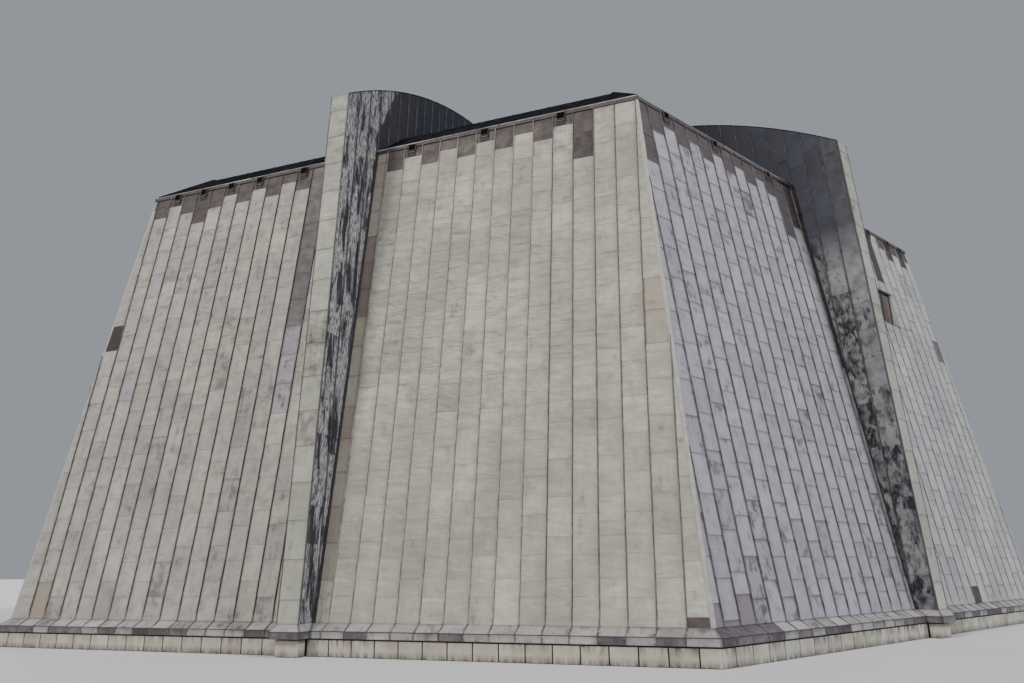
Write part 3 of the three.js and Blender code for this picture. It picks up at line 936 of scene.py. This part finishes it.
def skirt_sheets(number):
    """The bays of one side's skirt, along both halves and round the foot of the fin, and their seams."""
    sheets, folds = Sheets(), Sheets()
    bottom = KICK_L + DRIP_DROP

    def add_bays(place, left, right, finishes, seeds):
        add_bay(sheets, place, left, right, 0.0, KICK_L - KICK_EDGE, finishes[0], seeds[0])
        add_bay(sheets, place, left, right, KICK_L + FOLD_GAP, bottom, finishes[1], seeds[1])

    corner = lambda along: -kick_share(along) * KICK_OUT * MITRE
    fin = lambda along: SIDE / 2 - RIB_HALF - FIN_KICK * kick_share(along) - FIN_JOINT
    rear = lambda along: -KICK_OUT * kick_share(along)
    front = lambda along: -FIN_FOOT_OUT - FIN_KICK * kick_share(along)
    wide = lambda along: RIB_HALF + FIN_KICK * kick_share(along)
    narrow = lambda along: -wide(along)
    for side, hand in HANDS.items():
        def on_wall_kick(s, along, lift):
            reach, height = skirt_profile(along, lift, KICK_OUT, KICK_DROP)
            return to_building(number, hand * (SIDE / 2 - s), -reach, height)

        def on_flank(y, along, lift):
            reach, height = skirt_profile(along, lift, FIN_KICK, KICK_DROP)
            return to_building(number, hand * (RIB_HALF + reach), y, height)

        stops = seams_of(number, side)[1:-1]
        for bay, (left, right) in enumerate(pairwise([corner, *map(upright, stops), fin])):
            seed = [number, hand + 1, bay]
            stained = int((number, side) == STAINED_HALF and bay < STAINED_BAYS)
            drip = int(stained or np.random.default_rng([*seed, 2]).random() > PALE_BAYS)
            add_bays(on_wall_kick, left, right, (stained, drip), (seed, [*seed, 1]))
        for s in stops:
            for low, high, height in ((0.0, KICK_L, FOLD_H), (KICK_L, bottom, DRIP_FOLD_H)):
                seed = [number, hand + 1, int(s * 50)]
                add_seam(folds, on_wall_kick, upright(s), low, high, seed, height, FLAT_SEAM)
        add_bays(on_flank, front, rear, (0, 1), ([number, hand + 1, 40], [number, hand + 1, 41]))

    def on_front(x, along, lift):
        reach, height = skirt_profile(along, lift, FIN_KICK, KICK_DROP)
        return to_building(number, x, -FIN_FOOT_OUT - reach, height)

    add_bays(on_front, narrow, wide, (0, 1), ([number, 50], [number, 51]))
    sheets.made(f"skirt_sheets_{number}", "skirt_sheet", kick_sheet, drip_sheet)
    folds.made(f"skirt_folds_{number}", "skirt_sheet", seam_sheet)


def core_finish():
    finish = Finish("sheet_backing", 0.1, 0.3)
    cloud = finish.cloud(finish.place(), 2.5, 5)
    grain = finish.cloud(finish.place(), 50.0, 3)
    colour = finish.mixed(cloud, CORE_TONE, DARK_TONE)
    return finish.done(colour, finish.between(grain, 0, 1, 0.6, 0.85), [(grain, 0.002, 0.4)])


sheet_backing = core_finish()
for number in range(1, SIDES + 1):
    bare(f"skirt_{number}", sheet_backing)
    skirt_sheets(number)

# High window. One small opening in the right half of the first side is closed upright, so that it is
# flush at its head and sunk at its sill. It is filled with dark brown upright slats in a thin metal
# frame, under a folded lip, with a sloping sill of the pale sheet below.
WINDOW_SET = 0.030
WINDOW_FACE = (WINDOW_HEAD_Z - FLARE_Z) * LEAN + WINDOW_SET
WINDOW_FRAME = 0.060
POCKET = 0.030
SLAT_COUNT = 4
SLAT_GAP = 0.022
WIDE_BARS = ((4.090, 4.215), (4.655, 4.735))
SLAT_T = 0.024
SLAT_ROUND = 0.005
BAR_OVER = 0.030
BAR_OUT = 0.008
TRIM_ROUND = 0.003
SILL_T = 0.006
SILL_FALL = 0.12
SILL_RISE = 0.012
SILL_END = 0.010
SILL_TUCK = 0.020
SILL_NOSE = 0.035
LIP_END = 0.050
LIP_LOW = 0.008
LIP_UP = 0.035
LIP_OUT = 0.048
LIP_SET = 0.030
REVEAL_OUT = 0.022
REVEAL_T = 0.006
REVEAL_SET = 0.001
SLAT_BROWN = (0.085, 0.055, 0.045)
SLAT_LIGHT = (0.175, 0.130, 0.110)
# The reveals' near-white tone is painted light of a lamp falling into the opening.
REVEAL_PAINTED_LIGHT = (0.64, 0.65, 0.62)


def slat_finish():
    finish = Finish("window_slats", 0.05, 0.4)
    metres = finish.note("metres")
    tone = finish.parts(finish.note("wear"))[0]
    streak = finish.cloud(finish.stretched(metres, 30, 2, 1), 1.0, 5)
    grain = finish.cloud(metres, 70.0, 3)
    colour = finish.mixed(finish.between(streak, 0.35, 0.65), SLAT_BROWN, SLAT_LIGHT)
    colour = finish.shaded(colour, tone)
    rough = finish.between(streak, 0.3, 0.7, 0.4, 0.65)
    return finish.done(colour, rough, [(streak, 0.002, 0.4), (grain, 0.001, 0.3)])


window_slats = slat_finish()
reveal_painted_light = sheet_finish("reveal_painted_light", REVEAL_PAINTED_LIGHT, REVEAL_PAINTED_LIGHT, PALE_CLEAR, 0.3, 0.2, 0.02)


def window_dressing():
    """The slats of the window's two lights, the bars beside them, the sill, the lip and the reveals,
    whose near-white tone is painted light.
    """
    slats, trim = Sheets(), Sheets()

    def on_pane(across, up, lift):
        return to_building(1, across, WINDOW_FACE + POCKET - lift, up)

    def on_sill(across, up, lift):
        return to_building(1, across, WINDOW_FACE - up, WINDOW_SILL_Z + SILL_RISE - SILL_FALL * up + lift)

    def on_lip(across, up, lift):
        return to_building(1, across, WINDOW_FACE - LIP_SET - lift, WINDOW_HEAD_Z + up)

    lights = ((WINDOW_LEFT_X + WINDOW_FRAME, WIDE_BARS[0][0]), (WIDE_BARS[0][1], WIDE_BARS[1][0]))
    foot, head = WINDOW_SILL_Z + WINDOW_FRAME, WINDOW_HEAD_Z - WINDOW_FRAME
    for light, (start, stop) in enumerate(lights):
        for index, (left, right) in enumerate(pairwise(np.linspace(start, stop, SLAT_COUNT + 1))):
            add_panel(slats, on_pane, left + SLAT_GAP / 2, right - SLAT_GAP / 2, foot, head, SLAT_T,
                      SLAT_ROUND, [9, light * SLAT_COUNT + index])
    slats.made("window_slats", "window_panel", window_slats)
    for index, (left, right) in enumerate(WIDE_BARS):
        add_panel(trim, on_pane, left, right, foot - BAR_OVER, head + BAR_OVER, POCKET + BAR_OUT, TRIM_ROUND,
                  [9, 20 + index], 1)
    sunk = WINDOW_FACE - (WINDOW_SILL_Z - FLARE_Z) * LEAN
    add_panel(trim, on_sill, WINDOW_LEFT_X - SILL_END, WINDOW_RIGHT_X + SILL_END, -SILL_TUCK,
              sunk + SILL_NOSE, SILL_T, TRIM_ROUND, [9, 30])
    add_panel(trim, on_lip, WINDOW_LEFT_X - LIP_END, WINDOW_RIGHT_X + LIP_END, -LIP_LOW, LIP_UP, LIP_OUT,
              2 * TRIM_ROUND, [9, 31])
    for hand, x in ((1, WINDOW_RIGHT_X), (-1, WINDOW_LEFT_X)):
        def on_reveal(across, up, lift):
            return to_building(1, x - hand * lift, across, up)

        rows = np.linspace(WINDOW_SILL_Z, WINDOW_HEAD_Z, 5)
        outer = (rows - FLARE_Z) * LEAN - REVEAL_OUT
        across = np.stack([outer, 0 * outer + WINDOW_FACE + SILL_TUCK], axis=-1)
        up = np.repeat(rows[:, None], 2, axis=1)
        trim.lay(on_reveal, across, up, np.full_like(up, REVEAL_T), 2, rear=-REVEAL_SET,
                 metres=triples(across, up, 0.0), edges=0.5, wear=triples(1.0, 0.3, 0 * up + 1))
    trim.made("window_trim", "window_panel", clear_sheet, dark_sheet, reveal_painted_light)


bare("high_window", dark_sheet)
window_dressing()

# Ribs. Each rib is a cast slab, a fin outside the wall and an arch over the roof. Its outer end is clad
# in one strip of pale sheets, and its flanks in dark strips with upright seams. The right flank flakes
# to the pale metal in long streaks, the left one is stained, and a folded cap covers the crest.
FIN_TOP_IN = 0.125
FIN_TOP_Z = 13.740
CREST_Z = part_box("crown")[1].z
CROWN_APOTHEM = 0.600
FLANK_PITCH = 0.53
FLANK_SHEET = 0.80
END_SHEET = 0.81
END_LAP = 0.014
END_FIRST = (0.3, 0.7)
END_LEAST = 0.3
END_STRAY = 0.05
WALL_TOP_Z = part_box("wall_2_left")[1].z
WALL_TOP_Y = (WALL_TOP_Z - FLARE_Z) * LEAN
KERB_IN = 1.400
KERB_RISE = 1.200
KERB_SET = 0.020
KERB_FOOT_Z = WALL_TOP_Z + KERB_SET
KERB_TOP_Y = WALL_TOP_Y + KERB_IN
KERB_TOP_Z = KERB_FOOT_Z + KERB_RISE
ROOF_PITCH = math.tan(math.radians(12))
CAP_OVER = 0.030
CAP_HALF = RIB_HALF + CAP_OVER
CAP_LIFT = 0.008
FLANK_DARK = (0.022, 0.018, 0.024)
FLANK_FADED = (0.036, 0.031, 0.038)
FLANK_BROWN = (0.040, 0.034, 0.038)
FLANK_FLAKE = (0.42, 0.41, 0.38)
FLANK_GREY = (0.060, 0.064, 0.084)
FLANK_EDGE = (0.092, 0.091, 0.104)
FLANK_PAINTED_SHADE = (0.018, 0.020, 0.029)
FLANK_PAINTED_LIGHT = (0.245, 0.246, 0.258)
FLANK_BLACK = (0.036, 0.031, 0.040)
LONG_FLANK = 3.6
MEETING_STEPS = 30
EDGE_STRIPS = 4
FLANK_CREASE = 0.002
FLANK_LIP = 0.002
FLANK_STAIN = 0.4
FLANK_SEAM_H = 0.026
FLANK_SEAM_L = 0.25
BEAD_H = 0.014
CAP_GAP = 0.008
END_PALE = (0.385, 0.380, 0.330)
END_GREEN = (0.300, 0.312, 0.265)
ROOF_DARK = (0.014, 0.014, 0.018)
ROOF_GREY = (0.030, 0.030, 0.037)
NEAR_BLACK = (0.007, 0.006, 0.007)

crest_run = APOTHEM - FIN_TOP_IN
crest_rise = CREST_Z - FIN_TOP_Z
CREST_R = (crest_run ** 2 + crest_rise ** 2) / (2 * crest_rise)
CREST_CENTRE_Z = CREST_Z - CREST_R
CROWN_Y = APOTHEM - CROWN_APOTHEM
CREST_START = math.atan2(FIN_TOP_Z - CREST_CENTRE_Z, FIN_TOP_IN - APOTHEM)


def fin_edge(z):
    """How far in the outer edge of the fin is at height z."""
    return -FIN_FOOT_OUT + (z - FLARE_Z) * (FIN_FOOT_OUT + FIN_TOP_IN) / (FIN_TOP_Z - FLARE_Z)


def crest_height(y):
    return CREST_CENTRE_Z + np.sqrt(CREST_R ** 2 - (APOTHEM - np.minimum(y, APOTHEM)) ** 2)


def cover_height(y):
    """The height at which the wall, the kerb or the roof meets the flank of the rib."""
    wall = FLARE_Z + np.maximum(y, 0) / LEAN
    kerb = KERB_FOOT_Z + (y - WALL_TOP_Y) * KERB_RISE / KERB_IN
    roof = KERB_TOP_Z + (y - KERB_TOP_Y) * ROOF_PITCH
    return np.where(y < WALL_TOP_Y, wall, np.where(y < KERB_TOP_Y, kerb, roof))


def meeting_height(across, curve):
    """The height where a line at this distance from the fin's outer edge meets a curve."""
    z = np.full_like(across, FIN_TOP_Z)
    for _ in range(MEETING_STEPS):
        z = curve(np.minimum(fin_edge(z) + across, CROWN_Y))
    return z


def flank_clip(across, up):
    """Trims a point of the flank to the crest, the cover line and the crown."""
    low = np.maximum(meeting_height(across, cover_height), FLARE_Z)
    high = meeting_height(across, crest_height)
    up = np.clip(up, low, np.maximum(high, low))
    across = np.minimum(across, CROWN_Y - fin_edge(up))
    return across, up


def flank_finish(name, ground, edge_ground, lower_painted_light, mark, other_mark, shape, reach, limits):
    """Sheet with weather marks on its ground tone, darker inwards towards the crown as painted shade and
    paler low down as painted light. Shape is how fine the marks are across and along, reach how far they
    are held back, from the distance to the fin's edge and the height, and limits how soft their edges are."""
    finish = Finish(name, 0.05, 0.16)
    metres = finish.note("metres")
    left, right, above_lap = finish.parts(finish.note("edges"))[:3]
    tone, spots, below_head = finish.parts(finish.note("wear"))[:3]
    from_edge, height = finish.parts(metres)[:2]
    long_marks = finish.cloud(finish.stretched(metres, *shape, 0), 1.0, 8, 0.64, 0.6)
    small_marks = finish.cloud(finish.stretched(metres, 22, 6, 0), 1.0, 6, 0.6)
    mottle = finish.cloud(metres, 2.6, 5)
    grain = finish.cloud(metres, 50.0, 4)
    share = finish.plus(long_marks, finish.times(finish.minus(small_marks, 0.5), 0.30))
    share = finish.plus(share, finish.times(finish.minus(spots, 0.5), 0.16))
    share = finish.minus(share, reach(finish, from_edge, height))
    marked = finish.between(share, *limits)
    colour = finish.mixed(finish.between(from_edge, 0.53, 0.55), edge_ground, ground)
    # Darker from 1 m to 5 m in from the fin's edge as painted shade of the arch, and paler below about 10 m
    # as painted light on the fin.
    colour = finish.laid(colour, FLANK_PAINTED_SHADE, from_edge, 1.0, 5.0)
    colour = finish.laid(colour, lower_painted_light, height, 11.2, 9.6)
    colour = finish.laid(colour, FLANK_BROWN, mottle, 0.40, 0.65, 0.5)
    patch = finish.mixed(finish.between(small_marks, 0.40, 0.62), mark, other_mark)
    colour = finish.mixed(marked, colour, patch)
    rim = finish.plus(finish.worked("MINIMUM", left, right), finish.times(mottle, 0.04))
    colour = finish.laid(colour, FLANK_DARK, rim, 0.06, 0.025, 0.85)
    colour = finish.laid(colour, FLANK_DARK, above_lap, 0.018, 0.006, 0.22)
    level = finish.times(finish.between(grain, 0.25, 0.75, 0.86, 1.14), tone)
    colour = finish.shaded(colour, level)
    rough = finish.between(small_marks, 0.3, 0.7, 0.5, 0.72)
    return finish.done(colour, rough, [(mottle, 0.02, 0.5), (marked, 0.0015, 0.4), (grain, 0.0015, 0.4)])


def matt_finish(name, first, second):
    """Dark sheet gone dull: two tones in clouds and streaks, dirt at the laps, and no shine."""
    finish = Finish(name, 0.0, 0.0)
    metres = finish.note("metres")
    above_lap = finish.parts(finish.note("edges"))[2]
    tone = finish.parts(finish.note("wear"))[0]
    mottle = finish.cloud(metres, 2.6, 6, 0.6)
    streak = finish.cloud(finish.stretched(metres, 13, 0.8, 1), 1.0, 5, 0.6)
    grain = finish.cloud(metres, 48.0, 4, 0.65)
    colour = finish.mixed(finish.between(mottle, 0.40, 0.65), first, second)
    colour = finish.laid(colour, first, streak, 0.50, 0.70, 0.5)
    colour = finish.laid(colour, NEAR_BLACK, above_lap, 0.024, 0.012, 0.6)
    level = finish.times(finish.between(grain, 0.25, 0.75, 0.8, 1.2), tone)
    colour = finish.shaded(colour, level)
    rough = finish.between(mottle, 0.3, 0.7, 0.82, 0.96)
    return finish.done(colour, rough, [(mottle, 0.004, 0.3)])


# Flakes near the fin's edge and below a slanting line over the wall top only; past it the flank stays dark,
# painted shadow of the wall's top edge.
def flaked_up_to_painted_shadow(finish, from_edge, height):
    over_wall = finish.worked("MAXIMUM", finish.minus(height, WALL_TOP_Z + 0.4), 0.0)
    inwards = finish.minus(from_edge, finish.times(over_wall, 0.46))
    return finish.between(inwards, 1.40, 1.75, -0.05, 0.34)


def stained_below(finish, from_edge, height):
    rising = finish.minus(height, finish.times(from_edge, 1.9))
    upper = finish.between(rising, 8.0, 10.2, 0.0, 0.36)
    lower = finish.plus(upper, finish.between(rising, 2.0, 8.0, -0.05, 0.02))
    return finish.plus(lower, finish.between(from_edge, 0.62, 0.45, 0.0, 0.05))


flaking_flank = flank_finish("flaking_flank", FLANK_FADED, FLANK_FADED, FLANK_FADED, FLANK_FLAKE, FLANK_GREY,
                             (4.4, 0.75), flaked_up_to_painted_shadow, (0.455, 0.525))
grey_flank = flank_finish("grey_flank", FLANK_GREY, FLANK_EDGE, FLANK_PAINTED_LIGHT, FLANK_BLACK, FLANK_DARK,
                          (4.4, 2.6), stained_below, (0.41, 0.60))
end_sheet = sheet_finish("end_sheet", END_PALE, END_GREEN, PALE_OLIVE, 0.5, 0.4, 0.03)
blotched_end = sheet_finish("blotched_end", END_PALE, PALE_OLIVE, STAIN, 0.9, 0.4, 0.03)
roof_sheet = matt_finish("roof_sheet", ROOF_DARK, ROOF_GREY)
BLOTCHED = {6: ((4.6, 5.5), (6.2, 7.9))}


def rib_flank(number, side):
    """The sheets and seams on one flank of a rib."""
    hand = HANDS[side]
    sheets, seams = Sheets(), Sheets()

    def place(across, up, lift):
        return to_building(number, hand * (RIB_HALF + lift), fin_edge(up) + across, up)

    for strip in range(math.ceil((CROWN_Y - fin_edge(CREST_Z)) / FLANK_PITCH)):
        start, stop = strip * FLANK_PITCH, (strip + 1) * FLANK_PITCH
        edges = np.array([start, stop])
        feet = np.maximum(meeting_height(edges, cover_height), FLARE_Z)
        heads = meeting_height(edges, crest_height)
        low, high = feet.min(), heads.max()
        if strip == 0:
            low, high = FLARE_Z, max(high, FIN_TOP_Z)
        length = FLANK_SHEET if strip < EDGE_STRIPS else LONG_FLANK
        joints = np.arange(FLARE_Z + length * (1 - 0.5 * (strip % 2)), high, length)
        joints = [low, *joints[(joints > low + LEAST_SHEET) & (joints < high - LEAST_SHEET)].tolist(), high]
        seed = [number, hand + 1, strip, 11]
        add_strip(sheets, place, upright(start), upright(stop), joints, 0, seed, FLANK_CREASE, flank_clip,
                  FLANK_STAIN, FLANK_LIP)
        foot, head = feet[1], heads[1]
        if head - foot > FLANK_SEAM_L and stop < CROWN_Y - fin_edge(head) - SEAM_CLEAR:
            add_seam(seams, place, upright(stop), foot, head, [*seed, 2], FLANK_SEAM_H, FLAT_SEAM)
    finish = flaking_flank if side == "right" else grey_flank
    sheets.made(f"flank_sheets_{number}_{side}", "rib_sheet", finish)
    seams.made(f"flank_seams_{number}_{side}", "rib_sheet", seam_sheet)


def rib_end(number):
    """The pale strip on the outer end of the fin, and the rolled beads on its two edges."""
    sheets, beads = Sheets(), Sheets()

    def place(across, up, lift):
        return to_building(number, across, fin_edge(up) - lift, up)

    reach = RIB_HALF + END_LAP
    draw = np.random.default_rng([number, 21])
    joints = np.arange(FLARE_Z + draw.uniform(*END_FIRST), FIN_TOP_Z - END_LEAST, END_SHEET)
    joints = [FLARE_Z, *(joints + draw.uniform(-END_STRAY, END_STRAY)).tolist(), FIN_TOP_Z]
    middles = [(a + b) / 2 for a, b in pairwise(joints)]
    finishes = [int(any(a < m < b for a, b in BLOTCHED.get(number, ()))) for m in middles]
    add_strip(sheets, place, upright(-reach), upright(reach), joints, finishes, [number, 22])
    for x in (-reach, reach):
        add_seam(beads, place, upright(x), FLARE_Z, FIN_TOP_Z, [number, 23], BEAD_H, FLAT_SEAM)
    sheets.made(f"fin_end_{number}", "rib_sheet", end_sheet, blotched_end)
    beads.made(f"fin_beads_{number}", "rib_sheet", end_sheet)


def rib_cap(number):
    """The folded cap along the crest, from the top of the fin to the crown."""
    sheets = Sheets()

    def place(across, along, lift):
        angle = CREST_START - along / CREST_R
        reach = CREST_R + lift
        y = APOTHEM + reach * np.cos(angle)
        return to_building(number, across, y, CREST_CENTRE_Z + reach * np.sin(angle))

    last = math.atan2(crest_height(np.array(CROWN_Y)) - CREST_CENTRE_Z, CROWN_Y - APOTHEM)
    length = CREST_R * (CREST_START - last)
    stops = np.linspace(0, length, round(length / FLANK_PITCH) + 1)
    for index, (low, high) in enumerate(pairwise(stops)):
        add_panel(sheets, place, -CAP_HALF, CAP_HALF, low + CAP_GAP / 2, high - CAP_GAP / 2, CAP_LIFT,
                  TRIM_ROUND, [number, index, 31])
    sheets.made(f"rib_cap_{number}", "rib_sheet", roof_sheet)


for number in range(1, SIDES + 1):
    bare(f"arch_rib_{number}", sheet_backing)
    rib_end(number)
    rib_cap(number)
for number, side in EVERY_HALF:
    rib_flank(number, side)

# Crown. The six ribs meet in one short six-sided block, whose top is closed with six folded wedges of
# the same dark sheet as the caps.
WEDGE_SUNK = 0.012
WEDGE_T = 0.016
WEDGE_ROUND = 0.004
WEDGE_GAP = 0.008
WEDGE_RIM = 0.006
WEDGE_TIP = 0.030


def crown_sheets():
    """Six wedges, one from each side, that meet at a point over the middle."""
    sheets = Sheets()
    for number in range(1, SIDES + 1):
        def place(across, along, lift):
            narrowed = across * (CROWN_APOTHEM - along) / CROWN_APOTHEM
            return to_building(number, narrowed, CROWN_Y + along, CREST_Z - WEDGE_SUNK + lift)

        half = CROWN_APOTHEM * MITRE - WEDGE_GAP
        add_panel(sheets, place, -half, half, WEDGE_RIM, CROWN_APOTHEM - WEDGE_TIP, WEDGE_T, WEDGE_ROUND,
                  [number, 61])
    sheets.made("crown_sheets", "rib_sheet", roof_sheet)


bare("crown", sheet_backing)
crown_sheets()

# Roof edge. A pale folded coping closes the top of the sheets like a thin line, over a narrow brown
# cover strip. Behind it the kerb rises steeply in dark sheets with upright seams, hipped at the
# corners. Small boxes with a mouth, a black panel painted as shade, and a few thin slats hang under the
# coping and drain the roof.
BAND_TOP = WALL_TOP_Z - FLARE_Z
COPING_REACH = 0.048
COPING_LOW = 0.026
COPING_UP = 0.024
COPING_ROUND = 0.006
COPING_END = 0.035
COPING_LAP = 0.004
COVER_LOW = 0.105
COVER_T = 0.038
COVER_L = 0.53
COVER_END = 0.020
COVER_TUCK = 0.010
COVER_ROUND = 0.004
OUTLET_W = 0.20
OUTLET_MOUTH = 0.145
OUTLET_SLATS = 4
OUTLET_ROUND = 0.002
MOUTH_LOW = 0.09
MOUTH_OUT = 0.050
CHEEK_OUT = 0.072
SLAT_DROP = 0.040
SLAT_LOW = 0.012
SLAT_HIGH = 0.036
SLAT_OUT = 0.074
SLAT_STEP = 0.012
CHEEK_T = 0.012
# Two dark panels at the rib's end of this coping and down beside the rib are painted shade in that corner.
PAINTED_SHADE_HALF = (1, "left")
PAINTED_SHADE_PANELS = ((7.35, -0.12, 0.030, 0.070), (7.98, -1.05, -0.12, 0.055))
USUAL_OUTLETS = (2.90, 4.985, 7.115)
OUTLETS = {
    (6, "left"): (1.87, 2.86, 3.88, 4.90, 6.43),
    (1, "left"): (2.025, 4.105, 6.725),
    (1, "right"): (1.50, 2.50, 4.00),
}
COPING_PALE = (0.36, 0.34, 0.29)
COPING_DULL = (0.19, 0.165, 0.14)
KERB_DARK = (0.008, 0.008, 0.011)
KERB_GREY = (0.018, 0.018, 0.024)
KERB_L = math.hypot(KERB_IN, KERB_RISE)
KERB_LAP = 0.95
LEAST_KERB = 0.15
SLOPE_SEAM_L = 0.3
KERB_LOOK = {"foot": 0.03, "least": LEAST_KERB, "crease": 0.001, "lip": 0.002,
             "seam": (0.011, 0.010), "seed": 73}

coping_sheet = sheet_finish("coping_sheet", COPING_PALE, COPING_DULL, COPING_DULL, 0.5, dents=0.01)
kerb_sheet = matt_finish("kerb_sheet", KERB_DARK, KERB_GREY)
mouth_painted_shade = matt_finish("mouth_painted_shade", NEAR_BLACK, KERB_DARK)


def on_band(number, side):
    """The face of the band at the top of a half, with heights measured from the wall's top."""
    wall = on_wall(number, side)
    return lambda s, up, lift: wall(s, BAND_TOP + up, lift)


def coping(number, side):
    """The coping of one half, and the cover strip between its outlets. One half has two dark panels by
    the rib, painted shade in that corner.
    """
    place = on_band(number, side)
    sheets = Sheets()
    start = BAND_TOP * CORNER_RUN
    reach = OUTLET_W / 2 + CHEEK_T
    mouths = [s + way * reach for s in OUTLETS.get((number, side), USUAL_OUTLETS) for way in (-1, 1)]
    stops = [start - COVER_END, *mouths, RIB_FACE]
    for left, right in zip(stops[::2], stops[1::2]):
        for foot, head in pairwise(np.linspace(left, right, max(2, round((right - left) / COVER_L) + 1))):
            add_panel(sheets, place, foot, head, -COVER_LOW, COVER_TUCK - COPING_LOW, COVER_T, COVER_ROUND,
                      [number, HANDS[side] + 1, int(foot * 50), 71], 1)
    for left, right in pairwise(np.linspace(start - COPING_END, RIB_FACE, 5)):
        add_panel(sheets, place, left, right + COPING_LAP, -COPING_LOW, COPING_UP, COPING_REACH,
                  COPING_ROUND, [number, HANDS[side] + 1, int(left * 10), 72])
    if (number, side) == PAINTED_SHADE_HALF:
        for seed, (left, foot, head, thick) in enumerate(PAINTED_SHADE_PANELS, start=75):
            add_panel(sheets, place, left, RIB_FACE, foot, head, thick, COPING_ROUND, [seed], 2)
    sheets.made(f"coping_{number}_{side}", "roof_edge_sheet", coping_sheet, brown_sheet, dark_sheet)


def outlets(number, side):
    """The outlets of one half: a black panel in the mouth, painted shade, between two cheeks, with thin
    slats below.
    """
    place = on_band(number, side)
    sheets = Sheets()
    foot = -MOUTH_LOW - OUTLET_MOUTH
    for index, s in enumerate(OUTLETS.get((number, side), USUAL_OUTLETS)):
        near, far = s - OUTLET_W / 2, s + OUTLET_W / 2
        # The mouth is a black panel: painted shade of the opening.
        add_panel(sheets, place, near, far, foot, -COPING_LOW, MOUTH_OUT, OUTLET_ROUND, [index, 80], 2)
        for left in (near - CHEEK_T, far):
            add_panel(sheets, place, left, left + CHEEK_T, foot, -COPING_LOW, CHEEK_OUT, OUTLET_ROUND,
                      [index, 81], 1)
        for slat in range(OUTLET_SLATS):
            low = foot - SLAT_DROP * (slat + 1)
            add_panel(sheets, place, near - CHEEK_T, far + CHEEK_T, low + SLAT_LOW, low + SLAT_HIGH,
                      SLAT_OUT - SLAT_STEP * slat, TRIM_ROUND, [index, slat, 82], 1 - slat % 2)
    sheets.made(f"outlets_{number}_{side}", "roof_edge_sheet", coping_sheet, brown_sheet, mouth_painted_shade)


def clad_slope(sheets, number, side, foot_y, foot_z, angle, length, laps, look):
    """Strips and seams on a slope that starts at its foot line and is cut at the hip. Laps gives the
    joints of a strip from its number and its top."""
    hand = HANDS[side]
    run, rise = math.cos(angle), math.sin(angle)
    seam_h, seam_half = look["seam"]

    def place(s, up, lift):
        y = foot_y + up * run - lift * rise
        return to_building(number, hand * (SIDE / 2 - s), y, foot_z + up * rise + lift * run)

    def hip(up):
        return SIDE / 2 - (APOTHEM - foot_y - up * run) * MITRE

    for index, (left, right) in enumerate(pairwise(seams_of(number, side))):
        top = min(length, (right - RUN_OUT - hip(0)) / (run * MITRE))
        if top < look["least"]:
            continue
        seed = [number, hand + 1, index, look["seed"]]
        bend = (left - hip(0)) / (run * MITRE)
        add_strip(sheets, place, cut_by(left, hip), upright(right), laps(index, top), 0, seed,
                  look["crease"], lip=look["lip"], bend=bend)
        if right < RIB_FACE and top > SLOPE_SEAM_L:
            add_seam(sheets, place, upright(right), look["foot"], top, [*seed[:3], look["seed"] + 1],
                     seam_h, seam_half)


def kerb_laps(index, top):
    foot = KERB_LOOK["foot"]
    return [foot, top] if index % 2 or top < KERB_LAP + LEAST_KERB else [foot, KERB_LAP, top]


def kerb_sheets(number, side):
    """The steep dark strips behind the coping of one half."""
    sheets = Sheets()
    clad_slope(sheets, number, side, WALL_TOP_Y, KERB_FOOT_Z, math.atan2(KERB_RISE, KERB_IN), KERB_L,
               kerb_laps, KERB_LOOK)
    sheets.made(f"kerb_sheets_{number}_{side}", "roof_edge_sheet", kerb_sheet)


for number in range(1, SIDES + 1):
    bare(f"roof_edge_{number}", sheet_backing)
for number, side in EVERY_HALF:
    coping(number, side)
    outlets(number, side)
    kerb_sheets(number, side)

# Roof. Six low slopes rise from the kerb to the crown between the ribs, in dark strips with upright
# seams, hipped on the line from each corner to the centre.
ROOF_SHEET = 3.0
ROOF_ANGLE = math.atan(ROOF_PITCH)
ROOF_L = (CROWN_Y - KERB_TOP_Y) / math.cos(ROOF_ANGLE)
ROOF_LOOK = {"foot": 0.0, "least": SLOPE_SEAM_L, "crease": 0.002, "lip": LIP,
             "seam": (0.022, FLAT_SEAM), "seed": 91}
HIP_START = 0.04
HIP_HALF = 0.085
HIP_FLAT = 0.030
HIP_RISE = 0.045


def roof_laps(index, top):
    first = ROOF_SHEET * (0.5 + 0.5 * (index % 2))
    return [0.0, *np.arange(first, top - SLOPE_SEAM_L, ROOF_SHEET).tolist(), top]


def roof_sheets(number, side):
    """The strips of one half of a low slope, from the kerb to the crown."""
    sheets = Sheets()
    clad_slope(sheets, number, side, KERB_TOP_Y, KERB_TOP_Z, ROOF_ANGLE, ROOF_L, roof_laps, ROOF_LOOK)
    sheets.made(f"roof_sheets_{number}_{side}", "roof_sheet", roof_sheet)


def hip_cap(number):
    """The folded cap over the ends of the strips, up the kerb's corner and the roof's hip."""
    kerb = np.linspace(HIP_START, 1, 5)
    roof = np.linspace(0, 1, 16)[1:]
    inwards = np.concatenate([WALL_TOP_Y + KERB_IN * kerb, KERB_TOP_Y + (CROWN_Y - KERB_TOP_Y) * roof])
    rise = (CROWN_Y - KERB_TOP_Y) * ROOF_PITCH
    heights = np.concatenate([KERB_FOOT_Z + KERB_RISE * kerb, KERB_TOP_Z + rise * roof])
    profile = [(-HIP_HALF, 0.0), (-HIP_FLAT, HIP_RISE), (HIP_FLAT, HIP_RISE), (HIP_HALF, 0.0)]
    along_corner(number, "hip_cap", "roof_sheet", roof_sheet, inwards, heights, profile)


for number in range(1, SIDES + 1):
    bare(f"roof_field_{number}", sheet_backing)
    hip_cap(number)
for number, side in EVERY_HALF:
    roof_sheets(number, side)
